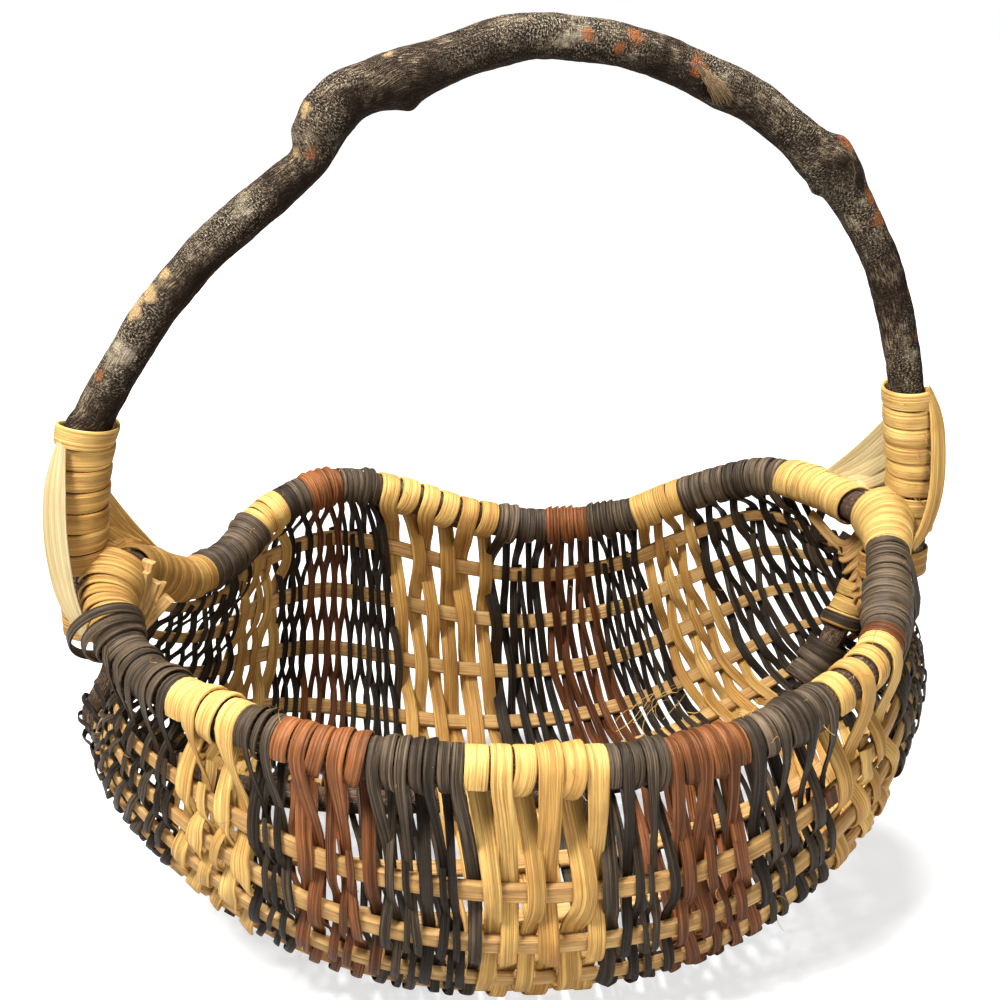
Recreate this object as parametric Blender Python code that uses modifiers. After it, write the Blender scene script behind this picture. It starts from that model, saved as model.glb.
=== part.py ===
"""A twin-lobed ribbed basket, woven on a bark-covered branch handle.

A vine rim and a branch handle cross at two lashed ears. Fourteen ribs and a vine spine run
from ear to ear, and flat strands weave from rim to rim, over and under them, turning round
the rim at the end of each pass. Metres, +Z up, +X to the right, +Y to the back. The origin
is under the middle of the basket, on the surface that it stands on.
"""

import math

import bmesh
import bpy
import numpy as np
from mathutils import Matrix, Vector

# Sizes of the whole basket. Heights are measured from the middle of the front rim.
RIM_HALF_LENGTH = 0.177
RIM_HALF_DEPTH = 0.136
EAR_RISE = 0.040
BOWL_DEPTH = 0.128
SIDE_BULGE = 0.024
HANDLE_HEIGHT = 0.266
STANDING_CUT = 0.0005

# The three round members, and the clearance between pieces that touch.
HANDLE_RADIUS = 0.0100
RIM_RADIUS = 0.0080
SPINE_RADIUS = 0.0058
SEAT_GAP = 0.0003
WEAVE_GAP = 0.0006
RIM_SEAT_GAP = 0.0009
EAR_SEAT_GAP = 0.0012
SPINE_TOP = 0.0250

# The ribs: flat-oval reeds, tapered into the ears.
RIB_WIDTH = 0.0080
RIB_THICKNESS = 0.0040
FRONT_RIBS = 7
BACK_RIBS = 7
FRONT_FIRST_GAP = 0.052
FRONT_RIB_SPACING = 0.0270
BACK_FIRST_GAP = 0.034
BACK_RIB_SPACING = 0.0305

# The weavers' flat strand.
STRAND_WIDTH = 0.0077
STRAND_THICKNESS = 0.0016

# The ears' lashing reed: broad on the handle and the back rim, narrow on the front rim.
BROAD_WIDTH = 0.0075
NARROW_WIDTH = 0.0040
REED_THICKNESS = 0.0020
TURN_SPACING = 0.0027
LEAN_LENGTH = 0.0080
SPINE_TURN_SPACING = 0.0008
HANDLE_WRAP_TURNS = 6
FRONT_WRAP_TURNS = 3
BACK_WRAP_TURNS = {"left": 5, "right": 4}
SPINE_WRAP_TURNS = 2
WEB_THICKNESS = 0.0016
WEB_STRANDS = 4
WEB_BULGE = 0.006
WEB_RIDGE = 0.0005
WELD_DISTANCE = 0.00002

# Points round one turn of a winding, and round one turn of a strand on the rim.
TURN_POINTS = 12
RIM_TURN_POINTS = 7
CURVE_STEPS = 16

# Points along each long member.
RIM_POINTS = 40
HANDLE_POINTS = 36
SPINE_POINTS = 12
RIB_POINTS = 13

# The rim, seen from above and from the front: shares of its half length, half depth and rise.
FRONT_RIM_SHARES = (
    (-1.000, 0.010, 0.98),
    (-1.034, -0.145, 0.68),
    (-0.975, -0.325, 0.32),
    (-0.853, -0.560, 0.25),
    (-0.678, -0.780, 0.20),
    (-0.508, -0.898, 0.10),
    (-0.254, -0.985, 0.01),
    (0.000, -1.007, -0.07),
    (0.254, -0.985, -0.10),
    (0.480, -0.910, 0.00),
    (0.706, -0.750, 0.15),
    (0.842, -0.580, 0.26),
    (0.921, -0.382, 0.55),
    (0.984, -0.165, 0.92),
    (1.000, 0.015, 1.02),
)
BACK_RIM_SHARES = (
    (-1.000, 0.010, 0.98),
    (-0.962, 0.190, 0.74),
    (-0.864, 0.405, 0.26),
    (-0.740, 0.632, 0.22),
    (-0.621, 0.795, 0.54),
    (-0.429, 0.920, 0.72),
    (-0.226, 0.980, 0.48),
    (0.000, 0.993, 0.08),
    (0.226, 0.978, -0.12),
    (0.475, 0.897, 0.03),
    (0.650, 0.795, 0.43),
    (0.836, 0.596, 0.88),
    (0.944, 0.368, 0.98),
    (1.000, 0.015, 1.02),
)

# The handle's centreline from foot to foot, and its thickness there: shares of its half span,
# of its height and of its radius.
HANDLE_SHARES = (
    (-1.000, 0.045, 0.90),
    (-1.000, 0.150, 0.90),
    (-0.985, 0.278, 0.90),
    (-0.944, 0.414, 0.91),
    (-0.856, 0.523, 0.96),
    (-0.800, 0.590, 0.95),
    (-0.708, 0.662, 0.97),
    (-0.610, 0.718, 0.97),
    (-0.523, 0.771, 1.00),
    (-0.451, 0.823, 1.06),
    (-0.410, 0.876, 1.14),
    (-0.359, 0.914, 1.06),
    (-0.256, 0.932, 1.06),
    (-0.138, 0.974, 1.07),
    (0.010, 1.000, 0.99),
    (0.133, 0.996, 0.94),
    (0.267, 0.981, 0.93),
    (0.421, 0.936, 1.02),
    (0.544, 0.895, 1.04),
    (0.687, 0.812, 1.06),
    (0.754, 0.774, 1.14),
    (0.810, 0.699, 0.95),
    (0.882, 0.605, 0.94),
    (0.923, 0.511, 0.87),
    (0.954, 0.417, 0.85),
    (0.985, 0.278, 0.88),
    (1.000, 0.150, 0.90),
    (1.000, 0.045, 0.90),
)

# The handle's knots: place along it, then lean off the centreline and radius as shares of the
# handle's radius, and length to width.
HANDLE_KNOT_SHARES = (
    (0.405, 0.45, 1.10, 1.15),
    (0.735, 0.10, 1.28, 0.80),
    (0.475, -0.50, 0.72, 1.10),
)

# The bowl's middle section from the front rim round to the back rim: shares of the rim's half
# depth and of the bowl's depth. The spine lies in the fold between the two lobes.
SECTION_SHARES = (
    (-1.000, 0.00),
    (-1.045, -0.24),
    (-1.055, -0.47),
    (-1.005, -0.71),
    (-0.865, -0.91),
    (-0.660, -1.00),
    (-0.430, -0.97),
    (-0.210, -0.84),
    (0.000, -0.74),
    (0.210, -0.84),
    (0.430, -0.97),
    (0.660, -1.011),
    (0.865, -0.91),
    (1.005, -0.71),
    (1.055, -0.47),
    (1.045, -0.24),
    (1.000, 0.00),
)

# How the wall closes towards the ears. The ribs end on a small arch under each ear.
EAR_ARCH_HALF_WIDTH = 0.027
EAR_ARCH_TOP = 0.014
EAR_ARCH_DROP = 0.028
ARCH_POWER_SHARE = 0.75
LENGTHWISE_POWER_SHARE = 0.83
DROP_POWER_SHARE = 0.95
BULGE_AT_DROP_SHARE = 0.30
RIM_REACH_SHARE = 0.45
EAR_REACH_SHARE = 0.20
ALONG_STEP_SHARE = 0.004
LIFT_ROUNDS = 16
EDGE_SHARES = (-0.65, -0.32, 0.0, 0.32, 0.65)
LEAST_LEAN_SHARE = 0.8
SPINE_AT_SHARE = 0.5
SPINE_START_SHARE = 0.030
RIB_END_SHARE = 0.028
TAPER_START_SHARE = 0.27
TAPERED_SHARE = 0.30

# The weavers: each band's colour and number of passes, and where the first and last passes
# leave the rims and cross the spine, in shares of their lengths from the left ear.
BANDS = (
    ("dark_band_a", "dark_reed", 4),
    ("natural_band_b", "natural_reed", 3),
    ("dark_band_c", "dark_reed", 1),
    ("red_band_d", "red_reed", 3),
    ("dark_band_e", "dark_reed", 3),
    ("natural_band_f", "natural_reed", 4),
    ("dark_band_g", "dark_reed", 2),
    ("red_band_h", "red_reed", 3),
    ("dark_band_i", "dark_reed", 3),
    ("natural_band_j", "natural_reed", 3),
    ("dark_band_k", "dark_reed", 4),
)
PASSES = sum(passes for _, _, passes in BANDS)
FRONT_SPAN_SHARES = (0.101, 0.905)
BACK_SPAN_SHARES = (0.163, 0.858)
MIDDLE_SPAN_SHARES = (0.119, 0.893)
LEG_DROP_SHARE = 0.45
WRAP_START_ANGLE = math.radians(15)
# Near the ears this many passes cross ribs in groups: the group of each crossing, front to back.
EAR_PASSES = 3
EAR_GROUPS = (0, 1, 2, 2, 3, 3, 4, 4, 4, 5, 5, 6, 6, 7, 8)
CROSS_START_SHARE = 0.15
CROSS_END_SHARE = 0.85

# Where the ears' windings and webs lie.
HANDLE_WRAP_START = 0.0425
HANDLE_WRAP_CORE_SHARE = 0.92
FRONT_WRAP_START = 0.0185
BACK_WRAP_START = 0.0150
SPINE_WRAP_START = 0.0130
WEB_HANDLE_LOW = 0.062
WEB_HANDLE_HIGH = 0.104
WEB_RIM_NEAR = 0.019
WEB_RIM_FAR = 0.033
WEB_ROWS = 5

# Colour, roughness and metallic value of each finish.
FINISHES = {
    "bark": ((0.115, 0.082, 0.058, 1.0), 0.85, 0.0),
    "vine_bark": ((0.150, 0.105, 0.075, 1.0), 0.85, 0.0),
    "natural_reed": ((0.74, 0.50, 0.22, 1.0), 0.55, 0.0),
    "dark_reed": ((0.055, 0.045, 0.038, 1.0), 0.50, 0.0),
    "red_reed": ((0.28, 0.10, 0.045, 1.0), 0.50, 0.0),
    "rib_reed": ((0.58, 0.37, 0.16, 1.0), 0.60, 0.0),
}

parts = None
cutters = None
basket = None
finishes = {}
SIDES = {"left": -1, "right": 1}


def clear_scene():
    """Removes what the scene holds, and makes the collections and the basket's own empty."""
    global parts, cutters, basket
    for obj in list(bpy.data.objects):
        bpy.data.objects.remove(obj)
    parts = bpy.data.collections.new("buttocks_basket")
    cutters = bpy.data.collections.new("cutters")
    for collection in (parts, cutters):
        bpy.context.scene.collection.children.link(collection)
    basket = bpy.data.objects.new("basket_origin", None)
    parts.objects.link(basket)


def finish(name):
    """The finish's material: a plain Principled surface in its colour."""
    if name not in finishes:
        colour, roughness, metallic = FINISHES[name]
        material = bpy.data.materials.new(name)
        material.use_nodes = True
        shader = material.node_tree.nodes["Principled BSDF"]
        shader.inputs["Base Color"].default_value = colour
        shader.inputs["Roughness"].default_value = roughness
        shader.inputs["Metallic"].default_value = metallic
        material.diffuse_color = colour
        finishes[name] = material
    return finishes[name]


def unit(vector):
    return vector / np.linalg.norm(vector)


def smooth_step(t):
    t = min(max(t, 0), 1)
    return t * t * (3 - 2 * t)


def smooth_points(points, steps=CURVE_STEPS, closed=False):
    """Points on a smooth curve through the given points, by Catmull and Rom's formula."""
    points = np.asarray(points, float)
    if closed:
        padded = np.vstack([points[-1], points, points[0], points[1]])
    else:
        first = 2 * points[0] - points[1]
        last = 2 * points[-1] - points[-2]
        padded = np.vstack([first, points, last])
    found = []
    for a, b, c, d in zip(padded[:-3], padded[1:-2], padded[2:-1], padded[3:]):
        for step in range(steps):
            t = step / steps
            found.append(
                b + (c - a) * t / 2
                + (a - 2.5 * b + 2 * c - d / 2) * t**2
                + (1.5 * (b - c) + (d - a) / 2) * t**3
            )
    if not closed:
        found.append(padded[-2])
    return np.array(found)


class Path:
    """A curve through points, read by the share of its length."""

    def __init__(self, points, steps=CURVE_STEPS):
        self.points = smooth_points(points, steps)
        runs = np.linalg.norm(np.diff(self.points[:, :3], axis=0), axis=1)
        self.lengths = np.concatenate([[0], np.cumsum(runs)])
        self.length = self.lengths[-1]

    def at(self, share):
        place = np.clip(share, 0, 1) * self.length
        return np.array([np.interp(place, self.lengths, column) for column in self.points.T])

    def tangent(self, share, step_share=0.004):
        return unit(self.at(share + step_share)[:3] - self.at(share - step_share)[:3])


def as_built(path, points):
    """The path in the straight runs that its member is built of."""
    return Path([path.at(i / points) for i in range(points + 1)], steps=1)


_, FOOT_HEIGHT_SHARE, FOOT_RADIUS_SHARE = HANDLE_SHARES[0]
FOOT_HEIGHT = HANDLE_HEIGHT * FOOT_HEIGHT_SHARE
FOOT_RADIUS = HANDLE_RADIUS * FOOT_RADIUS_SHARE
HANDLE_HALF_SPAN = RIM_HALF_LENGTH + RIM_RADIUS + EAR_SEAT_GAP + FOOT_RADIUS
SPINE_FOOT_X = HANDLE_HALF_SPAN - FOOT_RADIUS - SEAT_GAP - SPINE_RADIUS


def rim_path(shares):
    return Path([
        (x * RIM_HALF_LENGTH, y * RIM_HALF_DEPTH, z * EAR_RISE) for x, y, z in shares
    ])


FRONT_RIM = rim_path(FRONT_RIM_SHARES)
BACK_RIM = rim_path(BACK_RIM_SHARES)
FRONT_HOOP = as_built(FRONT_RIM, RIM_POINTS)
BACK_HOOP = as_built(BACK_RIM, RIM_POINTS)
SECTION = Path([
    (0, y * RIM_HALF_DEPTH, z * BOWL_DEPTH) for y, z in SECTION_SHARES
])
HANDLE = Path([
    (x * HANDLE_HALF_SPAN, 0, z * HANDLE_HEIGHT, radius * HANDLE_RADIUS)
    for x, z, radius in HANDLE_SHARES
])


def plain_wall(along, around):
    """The wall's even shape. Along runs from ear to ear, around from front rim to back rim."""
    angle = (2 * along - 1) * math.pi / 2
    drop = max(math.cos(angle), 0) ** DROP_POWER_SHARE
    reach = abs(math.sin(angle)) ** LENGTHWISE_POWER_SHARE
    near_ear = drop / BULGE_AT_DROP_SHARE
    swell = near_ear * math.exp(1 - near_ear) * math.sin(math.pi * around)
    x = math.copysign(reach * (RIM_HALF_LENGTH + SIDE_BULGE * swell), angle)
    arch_angle = math.pi * around
    lean = -math.copysign(abs(math.cos(arch_angle)) ** ARCH_POWER_SHARE, math.cos(arch_angle))
    arch = np.array([
        lean * EAR_ARCH_HALF_WIDTH, EAR_ARCH_TOP - EAR_ARCH_DROP * math.sin(arch_angle)
    ])
    middle = SECTION.at(around)[1:]
    y, z = arch + (middle - arch) * drop
    return np.array([x, y, z])


def wall(along, around):
    """A point of the wall. Near each rim it follows the rim's own waves, save at the ears."""
    point = plain_wall(along, around)
    from_ear = min(along, 1 - along) / EAR_REACH_SHARE
    waves = smooth_step(from_ear)
    for rim, edge in ((FRONT_RIM, 0), (BACK_RIM, 1)):
        from_rim = abs(around - edge)
        if from_rim < RIM_REACH_SHARE:
            near = waves if from_rim else 1
            fade = (1 - (from_rim / RIM_REACH_SHARE) ** 2) ** 2
            point = point + near * fade * (rim.at(along) - plain_wall(along, edge))
    return point


def wall_frame(along, around, step_share=0.003):
    """At a point of the wall: the point, and the ways lengthwise and outward."""
    lengthwise = wall(along + step_share, around) - wall(along - step_share, around)
    low, high = max(around - step_share, 0), min(around + step_share, 1)
    crosswise = wall(along, high) - wall(along, low)
    outward = unit(np.cross(crosswise, lengthwise))
    return wall(along, around), unit(lengthwise), outward


def rib_places():
    """How far round the bowl each rib lies, as shares of the middle section's length."""
    front = [FRONT_FIRST_GAP + i * FRONT_RIB_SPACING for i in range(FRONT_RIBS)]
    back = [BACK_FIRST_GAP + i * BACK_RIB_SPACING for i in range(BACK_RIBS)]
    front = [place / SECTION.length for place in front]
    back = [1 - place / SECTION.length for place in back]
    return front, back


def rib_scale(along):
    """The rib's size at this place: full in the middle, tapered into the ears."""
    from_end = min(along, 1 - along)
    t = min(max((from_end - RIB_END_SHARE) / (TAPER_START_SHARE - RIB_END_SHARE), 0), 1)
    return TAPERED_SHARE + (1 - TAPERED_SHARE) * t


class Member:
    """A rib, or the spine, as it is built: straight runs between points of the wall.

    Its section is flat up to this far from its middle, at half its height, and then falls away.
    """

    def __init__(self, around, points, end_share, half_height, flat):
        self.around, self.half_height, self.flat = around, half_height, flat
        steps = [(1 - math.cos(math.pi * i / (points - 1))) / 2 for i in range(points)]
        self.alongs = [end_share + (1 - 2 * end_share) * step for step in steps]
        frames = [wall_frame(along, around) for along in self.alongs]
        self.points, self.lengthwise, self.outward = map(np.array, zip(*frames))

    def at(self, along):
        """The centre, the lengthwise way and the outward way at this share of its span."""
        return [
            np.array([np.interp(along, self.alongs, column) for column in values.T])
            for values in (self.points, self.lengthwise, self.outward)
        ]

    def station(self, along, side):
        """What a strand crosses here: the centre, both ways, and the section's edges under it."""
        centre, lengthwise, outward = self.at(along)
        reach = np.linalg.norm(self.at(along + ALONG_STEP_SHARE)[0] - centre) / ALONG_STEP_SHARE
        edges = []
        for share in EDGE_SHARES:
            place = along + share * STRAND_WIDTH / reach
            middle, ahead, up = self.at(place)
            if self.flat == 0:
                edges.append(middle)
                continue
            across = self.flat * rib_scale(place) * unit(np.cross(up, ahead))
            top = middle + side * self.half_height * rib_scale(place) * up
            edges += [top - across, top + across, middle - 2 * across, middle + 2 * across]
        return centre, lengthwise, side * outward, np.array(edges)


def make_members():
    """The ribs of the front lobe, the spine and the ribs of the back lobe, in that order."""
    front, back = rib_places()
    rib = (RIB_POINTS, RIB_END_SHARE, RIB_THICKNESS / 2, RIB_WIDTH / 4)
    spine = Member(SPINE_AT_SHARE, SPINE_POINTS, SPINE_START_SHARE, SPINE_RADIUS, 0)
    fronts = [Member(around, *rib) for around in front]
    backs = [Member(around, *rib) for around in back]
    return fronts, spine, backs


FRONT_MEMBERS, SPINE, BACK_MEMBERS = make_members()
CROSSINGS = [*FRONT_MEMBERS, SPINE, *reversed(BACK_MEMBERS)]


def profile_curve(name, outline):
    """A closed outline for strands, a guide that isn't built itself."""
    curve = bpy.data.curves.new(name, "CURVE")
    curve.dimensions = "2D"
    spline = curve.splines.new("POLY")
    spline.points.add(len(outline) - 1)
    for point, (x, y) in zip(spline.points, outline):
        point.co = (x, y, 0, 1)
    spline.use_cyclic_u = True
    guide = bpy.data.objects.new(name, curve)
    guide.hide_render = True
    guide.display_type = "WIRE"
    cutters.objects.link(guide)
    return guide


def flat_profile(name, width, thickness):
    w, t = width / 2, thickness / 2
    return profile_curve(name, ((-w, -t), (-w, t), (w, t), (w, -t)))


def oval_profile(name, width, thickness):
    w, t = width / 2, thickness / 2
    return profile_curve(name, ((-w, 0), (-w / 2, t), (w / 2, t), (w, 0), (w / 2, -t), (-w / 2, -t)))


def strand(name, finish_name, profile, points, widths, scales=None):
    """A flat strand along the points. Its flat side follows the given width directions."""
    points, widths = np.asarray(points, float), np.asarray(widths, float)
    upright = Vector(widths.mean(axis=0)).to_track_quat("Z", "Y").to_matrix()
    to_local = np.array(upright.transposed())
    points, widths = points @ to_local.T, widths @ to_local.T
    curve = bpy.data.curves.new(name, "CURVE")
    curve.dimensions = "3D"
    curve.twist_mode = "Z_UP"
    curve.bevel_mode = "OBJECT"
    curve.bevel_object = profile
    curve.use_fill_caps = True
    spline = curve.splines.new("POLY")
    spline.points.add(len(points) - 1)
    runs = np.diff(points, axis=0)
    runs /= np.linalg.norm(runs, axis=1)[:, None]
    ways = np.vstack([runs[:1], runs[:-1] + runs[1:], runs[-1:]])
    for i, point in enumerate(spline.points):
        point.co = (*points[i], 1)
        way = unit(ways[i])
        normal = unit(np.cross(widths[i], way))
        up = unit(np.array([0, 0, 1]) - way[2] * way)
        point.tilt = math.atan2(np.dot(np.cross(up, normal), way), np.dot(up, normal))
        point.radius = 1 if scales is None else scales[i]
    obj = bpy.data.objects.new(name, curve)
    obj.matrix_world = upright.to_4x4()
    curve.materials.append(finish(finish_name))
    parts.objects.link(obj)
    obj.parent = basket
    return obj


def round_member(name, finish_name, points, radii, resolution, closed=False):
    """A round vine or branch along the points, with its own radius at each."""
    curve = bpy.data.curves.new(name, "CURVE")
    curve.dimensions = "3D"
    curve.bevel_depth = 1.0
    curve.bevel_resolution = resolution
    curve.use_fill_caps = True
    spline = curve.splines.new("POLY")
    spline.points.add(len(points) - 1)
    spline.use_cyclic_u = closed
    for point, place, radius in zip(spline.points, points, radii):
        point.co = (*place[:3], 1)
        point.radius = radius
    curve.materials.append(finish(finish_name))
    obj = bpy.data.objects.new(name, curve)
    parts.objects.link(obj)
    obj.parent = basket
    return obj


def mesh_copy(obj):
    """The curve's evaluated shape as a mesh, with its caps welded."""
    graph = bpy.context.evaluated_depsgraph_get()
    mesh = bpy.data.meshes.new_from_object(obj.evaluated_get(graph))
    shape = bmesh.new()
    shape.from_mesh(mesh)
    bmesh.ops.remove_doubles(shape, verts=shape.verts, dist=WELD_DISTANCE)
    shape.to_mesh(mesh)
    shape.free()
    return mesh


def as_mesh(obj):
    """The curve object made a mesh object of the same name and place."""
    name, place, mesh = obj.name, obj.matrix_world.copy(), mesh_copy(obj)
    bpy.data.objects.remove(obj)
    solid = bpy.data.objects.new(name, mesh)
    solid.matrix_world = place
    parts.objects.link(solid)
    solid.parent = basket
    return solid


def make_rim():
    """The vine hoop: the front rim from left to right, then the back rim from right to left."""
    points = [*FRONT_HOOP.points[:-1], *BACK_HOOP.points[:0:-1]]
    radii = [RIM_RADIUS] * len(points)
    round_member("rim_hoop", "vine_bark", points, radii, resolution=2, closed=True)


def make_spine():
    """The spine vine: under the bowl along the fold, and up inside the handle's feet."""
    foot = FOOT_HEIGHT - SPINE_RADIUS
    points = [(-SPINE_FOOT_X, 0, SPINE_TOP), (-SPINE_FOOT_X, 0, foot)]
    points += list(SPINE.points)
    points += [(SPINE_FOOT_X, 0, foot), (SPINE_FOOT_X, 0, SPINE_TOP)]
    round_member("spine_vine", "vine_bark", points, [SPINE_RADIUS] * len(points), resolution=2)


def make_handle():
    """The branch: a bent arch of uneven thickness, with knots grown onto it."""
    places = [HANDLE.at(i / (HANDLE_POINTS - 1)) for i in range(HANDLE_POINTS)]
    branch = round_member(
        "handle_branch", "bark", places, [place[3] for place in places], resolution=2
    )
    branch = as_mesh(branch)
    for number, (share, lean, radius, stretch) in enumerate(HANDLE_KNOT_SHARES):
        way = HANDLE.tangent(share)
        sideways = np.array([-way[2], 0, way[0]])
        shape = bmesh.new()
        bmesh.ops.create_uvsphere(shape, u_segments=10, v_segments=6, radius=radius * HANDLE_RADIUS)
        bmesh.ops.scale(shape, verts=shape.verts, vec=(1, 1, stretch))
        mesh = bpy.data.meshes.new("knot")
        shape.to_mesh(mesh)
        shape.free()
        knot = bpy.data.objects.new(f"knot_{number}", mesh)
        knot.matrix_world = (
            Matrix.Translation(HANDLE.at(share)[:3] + sideways * lean * HANDLE_RADIUS)
            @ Vector(way).to_track_quat("Z", "Y").to_matrix().to_4x4()
        )
        knot.parent = basket
        knot.hide_render = True
        knot.display_type = "WIRE"
        cutters.objects.link(knot)
        union = branch.modifiers.new("knot", "BOOLEAN")
        union.operation = "UNION"
        union.object = knot


def make_ribs():
    profile = oval_profile("rib_section", RIB_WIDTH, RIB_THICKNESS)
    for lobe, members in (("front", FRONT_MEMBERS), ("back", BACK_MEMBERS)):
        for number, rib in enumerate(members, 1):
            widths = np.cross(rib.outward, rib.lengthwise)
            scales = [rib_scale(along) for along in rib.alongs]
            strand(f"{lobe}_rib_{number}", "rib_reed", profile, rib.points, widths, scales)


def strand_axes(points, widths):
    """At each point but the ends, the way along the strand's width there."""
    runs = np.diff(points, axis=0)
    runs /= np.linalg.norm(runs, axis=1)[:, None]
    found = []
    for width, before, after in zip(widths, runs[:-1], runs[1:]):
        way = unit(before + after)
        found.append(np.cross(way, unit(np.cross(width, way))))
    return found


def lift_short(here, there, up, edges, need, whole):
    """How much farther out the strand has to lie here for its run to clear the edges."""
    (place, axis), (other, other_axis) = here, there
    run = other - place
    part_way = (edges - place) @ run / np.dot(run, run)
    shares = part_way[:, None]
    axes = (1 - shares) * axis + shares * other_axis
    base = place + shares * run
    aside = np.sum((edges - base) * axes, axis=1) / np.sum(axes * axes, axis=1)
    faces = np.cross(axes, run + aside[:, None] * (other_axis - axis))
    faces /= np.linalg.norm(faces, axis=1)[:, None]
    faces *= np.sign(faces @ up)[:, None]
    gaps = np.sum((base + aside[:, None] * axes - edges) * faces, axis=1)
    fold = abs(np.dot(np.cross(axis, other_axis), unit(run)))
    needs = need + STRAND_WIDTH * fold * np.clip(part_way * (1 - part_way), 0, 1)
    shorts = (needs - gaps) / np.maximum(faces @ up, LEAST_LEAN_SHARE)
    under = (np.abs(aside) < STRAND_WIDTH * EDGE_SHARES[-1]) & (whole | (part_way >= 0))
    return max(0, *shorts[under]) if under.any() else 0


def pass_points(number, front_share, back_share, legs):
    """One pass from the front rim to the back rim: over a rib, under the next, and so on.

    Close to the ears, where the ribs crowd, it takes some of them in pairs.
    Each crossing is lifted until the strand's runs on both sides of it clear the rib.
    """
    stations, needs = [], []
    middle = np.interp(number, (0, PASSES - 1), MIDDLE_SPAN_SHARES)
    for i, member in enumerate(CROSSINGS):
        along = front_share + (back_share - front_share) * member.around
        along += (middle - (front_share + back_share) / 2) * math.sin(math.pi * member.around)
        height = SPINE_RADIUS if member is SPINE else 0
        needs.append(height + WEAVE_GAP + STRAND_THICKNESS / 2)
        turn = i if 0 <= number - EAR_PASSES < PASSES - 2 * EAR_PASSES else EAR_GROUPS[i]
        stations.append(member.station(along, 1 if (number + turn) % 2 == 0 else -1))
    (first, first_width), (last, last_width) = legs
    widths = [first_width, *(station[1] for station in stations), last_width]
    places = [centre + need * up for (centre, _, up, _), need in zip(stations, needs)]
    for _ in range(LIFT_ROUNDS):
        beside = [first, *places, last]
        above = [2 * first - places[0], 2 * last - places[-1]]
        axes = strand_axes([above[0], *beside, above[1]], widths)
        for i, (_, _, up, edges) in enumerate(stations):
            whole = CROSSINGS[i] is SPINE
            here = (beside[i + 1], axes[i + 1])
            short = max(
                lift_short(here, (beside[other], axes[other]), up, edges, needs[i], whole)
                for other in (i, i + 2)
            )
            places[i] = places[i] + short * up
    return places, [station[1] for station in stations]


WRAP_RADIUS = (RIM_RADIUS + RIM_SEAT_GAP + STRAND_THICKNESS / 2) / math.cos(math.pi / RIM_TURN_POINTS)
TURN_STEP = 2 * math.pi / RIM_TURN_POINTS


def on_rim(around, along, angle, drop_share=None):
    """A point of a wrap round the rim, at this angle from outside over the top, and its width."""
    rim = FRONT_HOOP if around == 0 else BACK_HOOP
    way = rim.tangent(along, LEAN_LENGTH / rim.length)
    first_rib = FRONT_MEMBERS[0] if around == 0 else BACK_MEMBERS[0]
    down = first_rib.at(along)[0] - rim.at(along)
    down = unit(down - np.dot(down, way) * way)
    out = np.cross(down, way) if around == 0 else np.cross(way, down)
    place = math.cos(angle) * out - math.sin(angle) * down
    if drop_share is not None:
        place = math.cos(angle) * out + drop_share * down
    return rim.at(along) + WRAP_RADIUS * place, way


def outer_leg(around, along):
    return on_rim(around, along, 0, LEG_DROP_SHARE)


def inner_leg(around, along):
    return on_rim(around, along, math.pi, LEG_DROP_SHARE)


def rim_turn(around, outer_along, inner_along):
    """Two wraps round the rim, from the pass that comes up outside to the one that goes inside."""
    found = [outer_leg(around, outer_along)]
    over_the_top = RIM_TURN_POINTS // 2 + 1
    shifts = [0] * over_the_top + [CROSS_START_SHARE, CROSS_END_SHARE, 1] + [1] * over_the_top
    for i, shift in enumerate(shifts):
        along = outer_along + (inner_along - outer_along) * shift
        found.append(on_rim(around, along, WRAP_START_ANGLE + i * TURN_STEP))
    found.append(inner_leg(around, inner_along))
    return found


def rim_tail(around, along, comes_outside):
    """The strand's end: one wrap over the rim, from the pass's leg to the other side."""
    angles = [WRAP_START_ANGLE + i * TURN_STEP for i in range(RIM_TURN_POINTS // 2 + 2)]
    if comes_outside:
        return [outer_leg(around, along)] + [on_rim(around, along, a) for a in angles]
    angles = [angle - TURN_STEP for angle in reversed(angles)]
    return [inner_leg(around, along)] + [on_rim(around, along, a) for a in angles]


def pass_ends(number):
    """Where this pass leaves the front rim and the back rim, as shares of each rim's length."""
    spans = (FRONT_SPAN_SHARES, BACK_SPAN_SHARES)
    return [start + (end - start) * number / (PASSES - 1) for start, end in spans]


def make_band(name, finish_name, profile, first, count):
    """One unbroken strand: its passes lie side by side, joined by turns round the rim."""
    route = []
    for number in range(first, first + count):
        ends = pass_ends(number)
        to_back = (number - first) % 2 == 0
        start = 0 if to_back else 1
        goes_outside = number % 2 == 1
        if number == first:
            route += reversed(rim_tail(start, ends[start], goes_outside))
        leg = outer_leg if goes_outside else inner_leg
        legs = [leg(around, along) for around, along in enumerate(ends)]
        points, widths = pass_points(number, *ends, legs)
        steps = list(zip(points, widths))
        route += steps if to_back else reversed(steps)
        if number == first + count - 1:
            route += rim_tail(1 - start, ends[1 - start], goes_outside)
        else:
            here, there = ends[1 - start], pass_ends(number + 1)[1 - start]
            if goes_outside:
                route += rim_turn(1 - start, here, there)
            else:
                route += reversed(rim_turn(1 - start, there, here))
    points, widths = zip(*route)
    return strand(name, finish_name, profile, points, widths)


def make_bands():
    profile = flat_profile("strand_section", STRAND_WIDTH, STRAND_THICKNESS)
    first, made = 0, []
    for name, finish_name, count in BANDS:
        made.append(make_band(name, finish_name, profile, first, count))
        first += count
    return made


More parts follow.
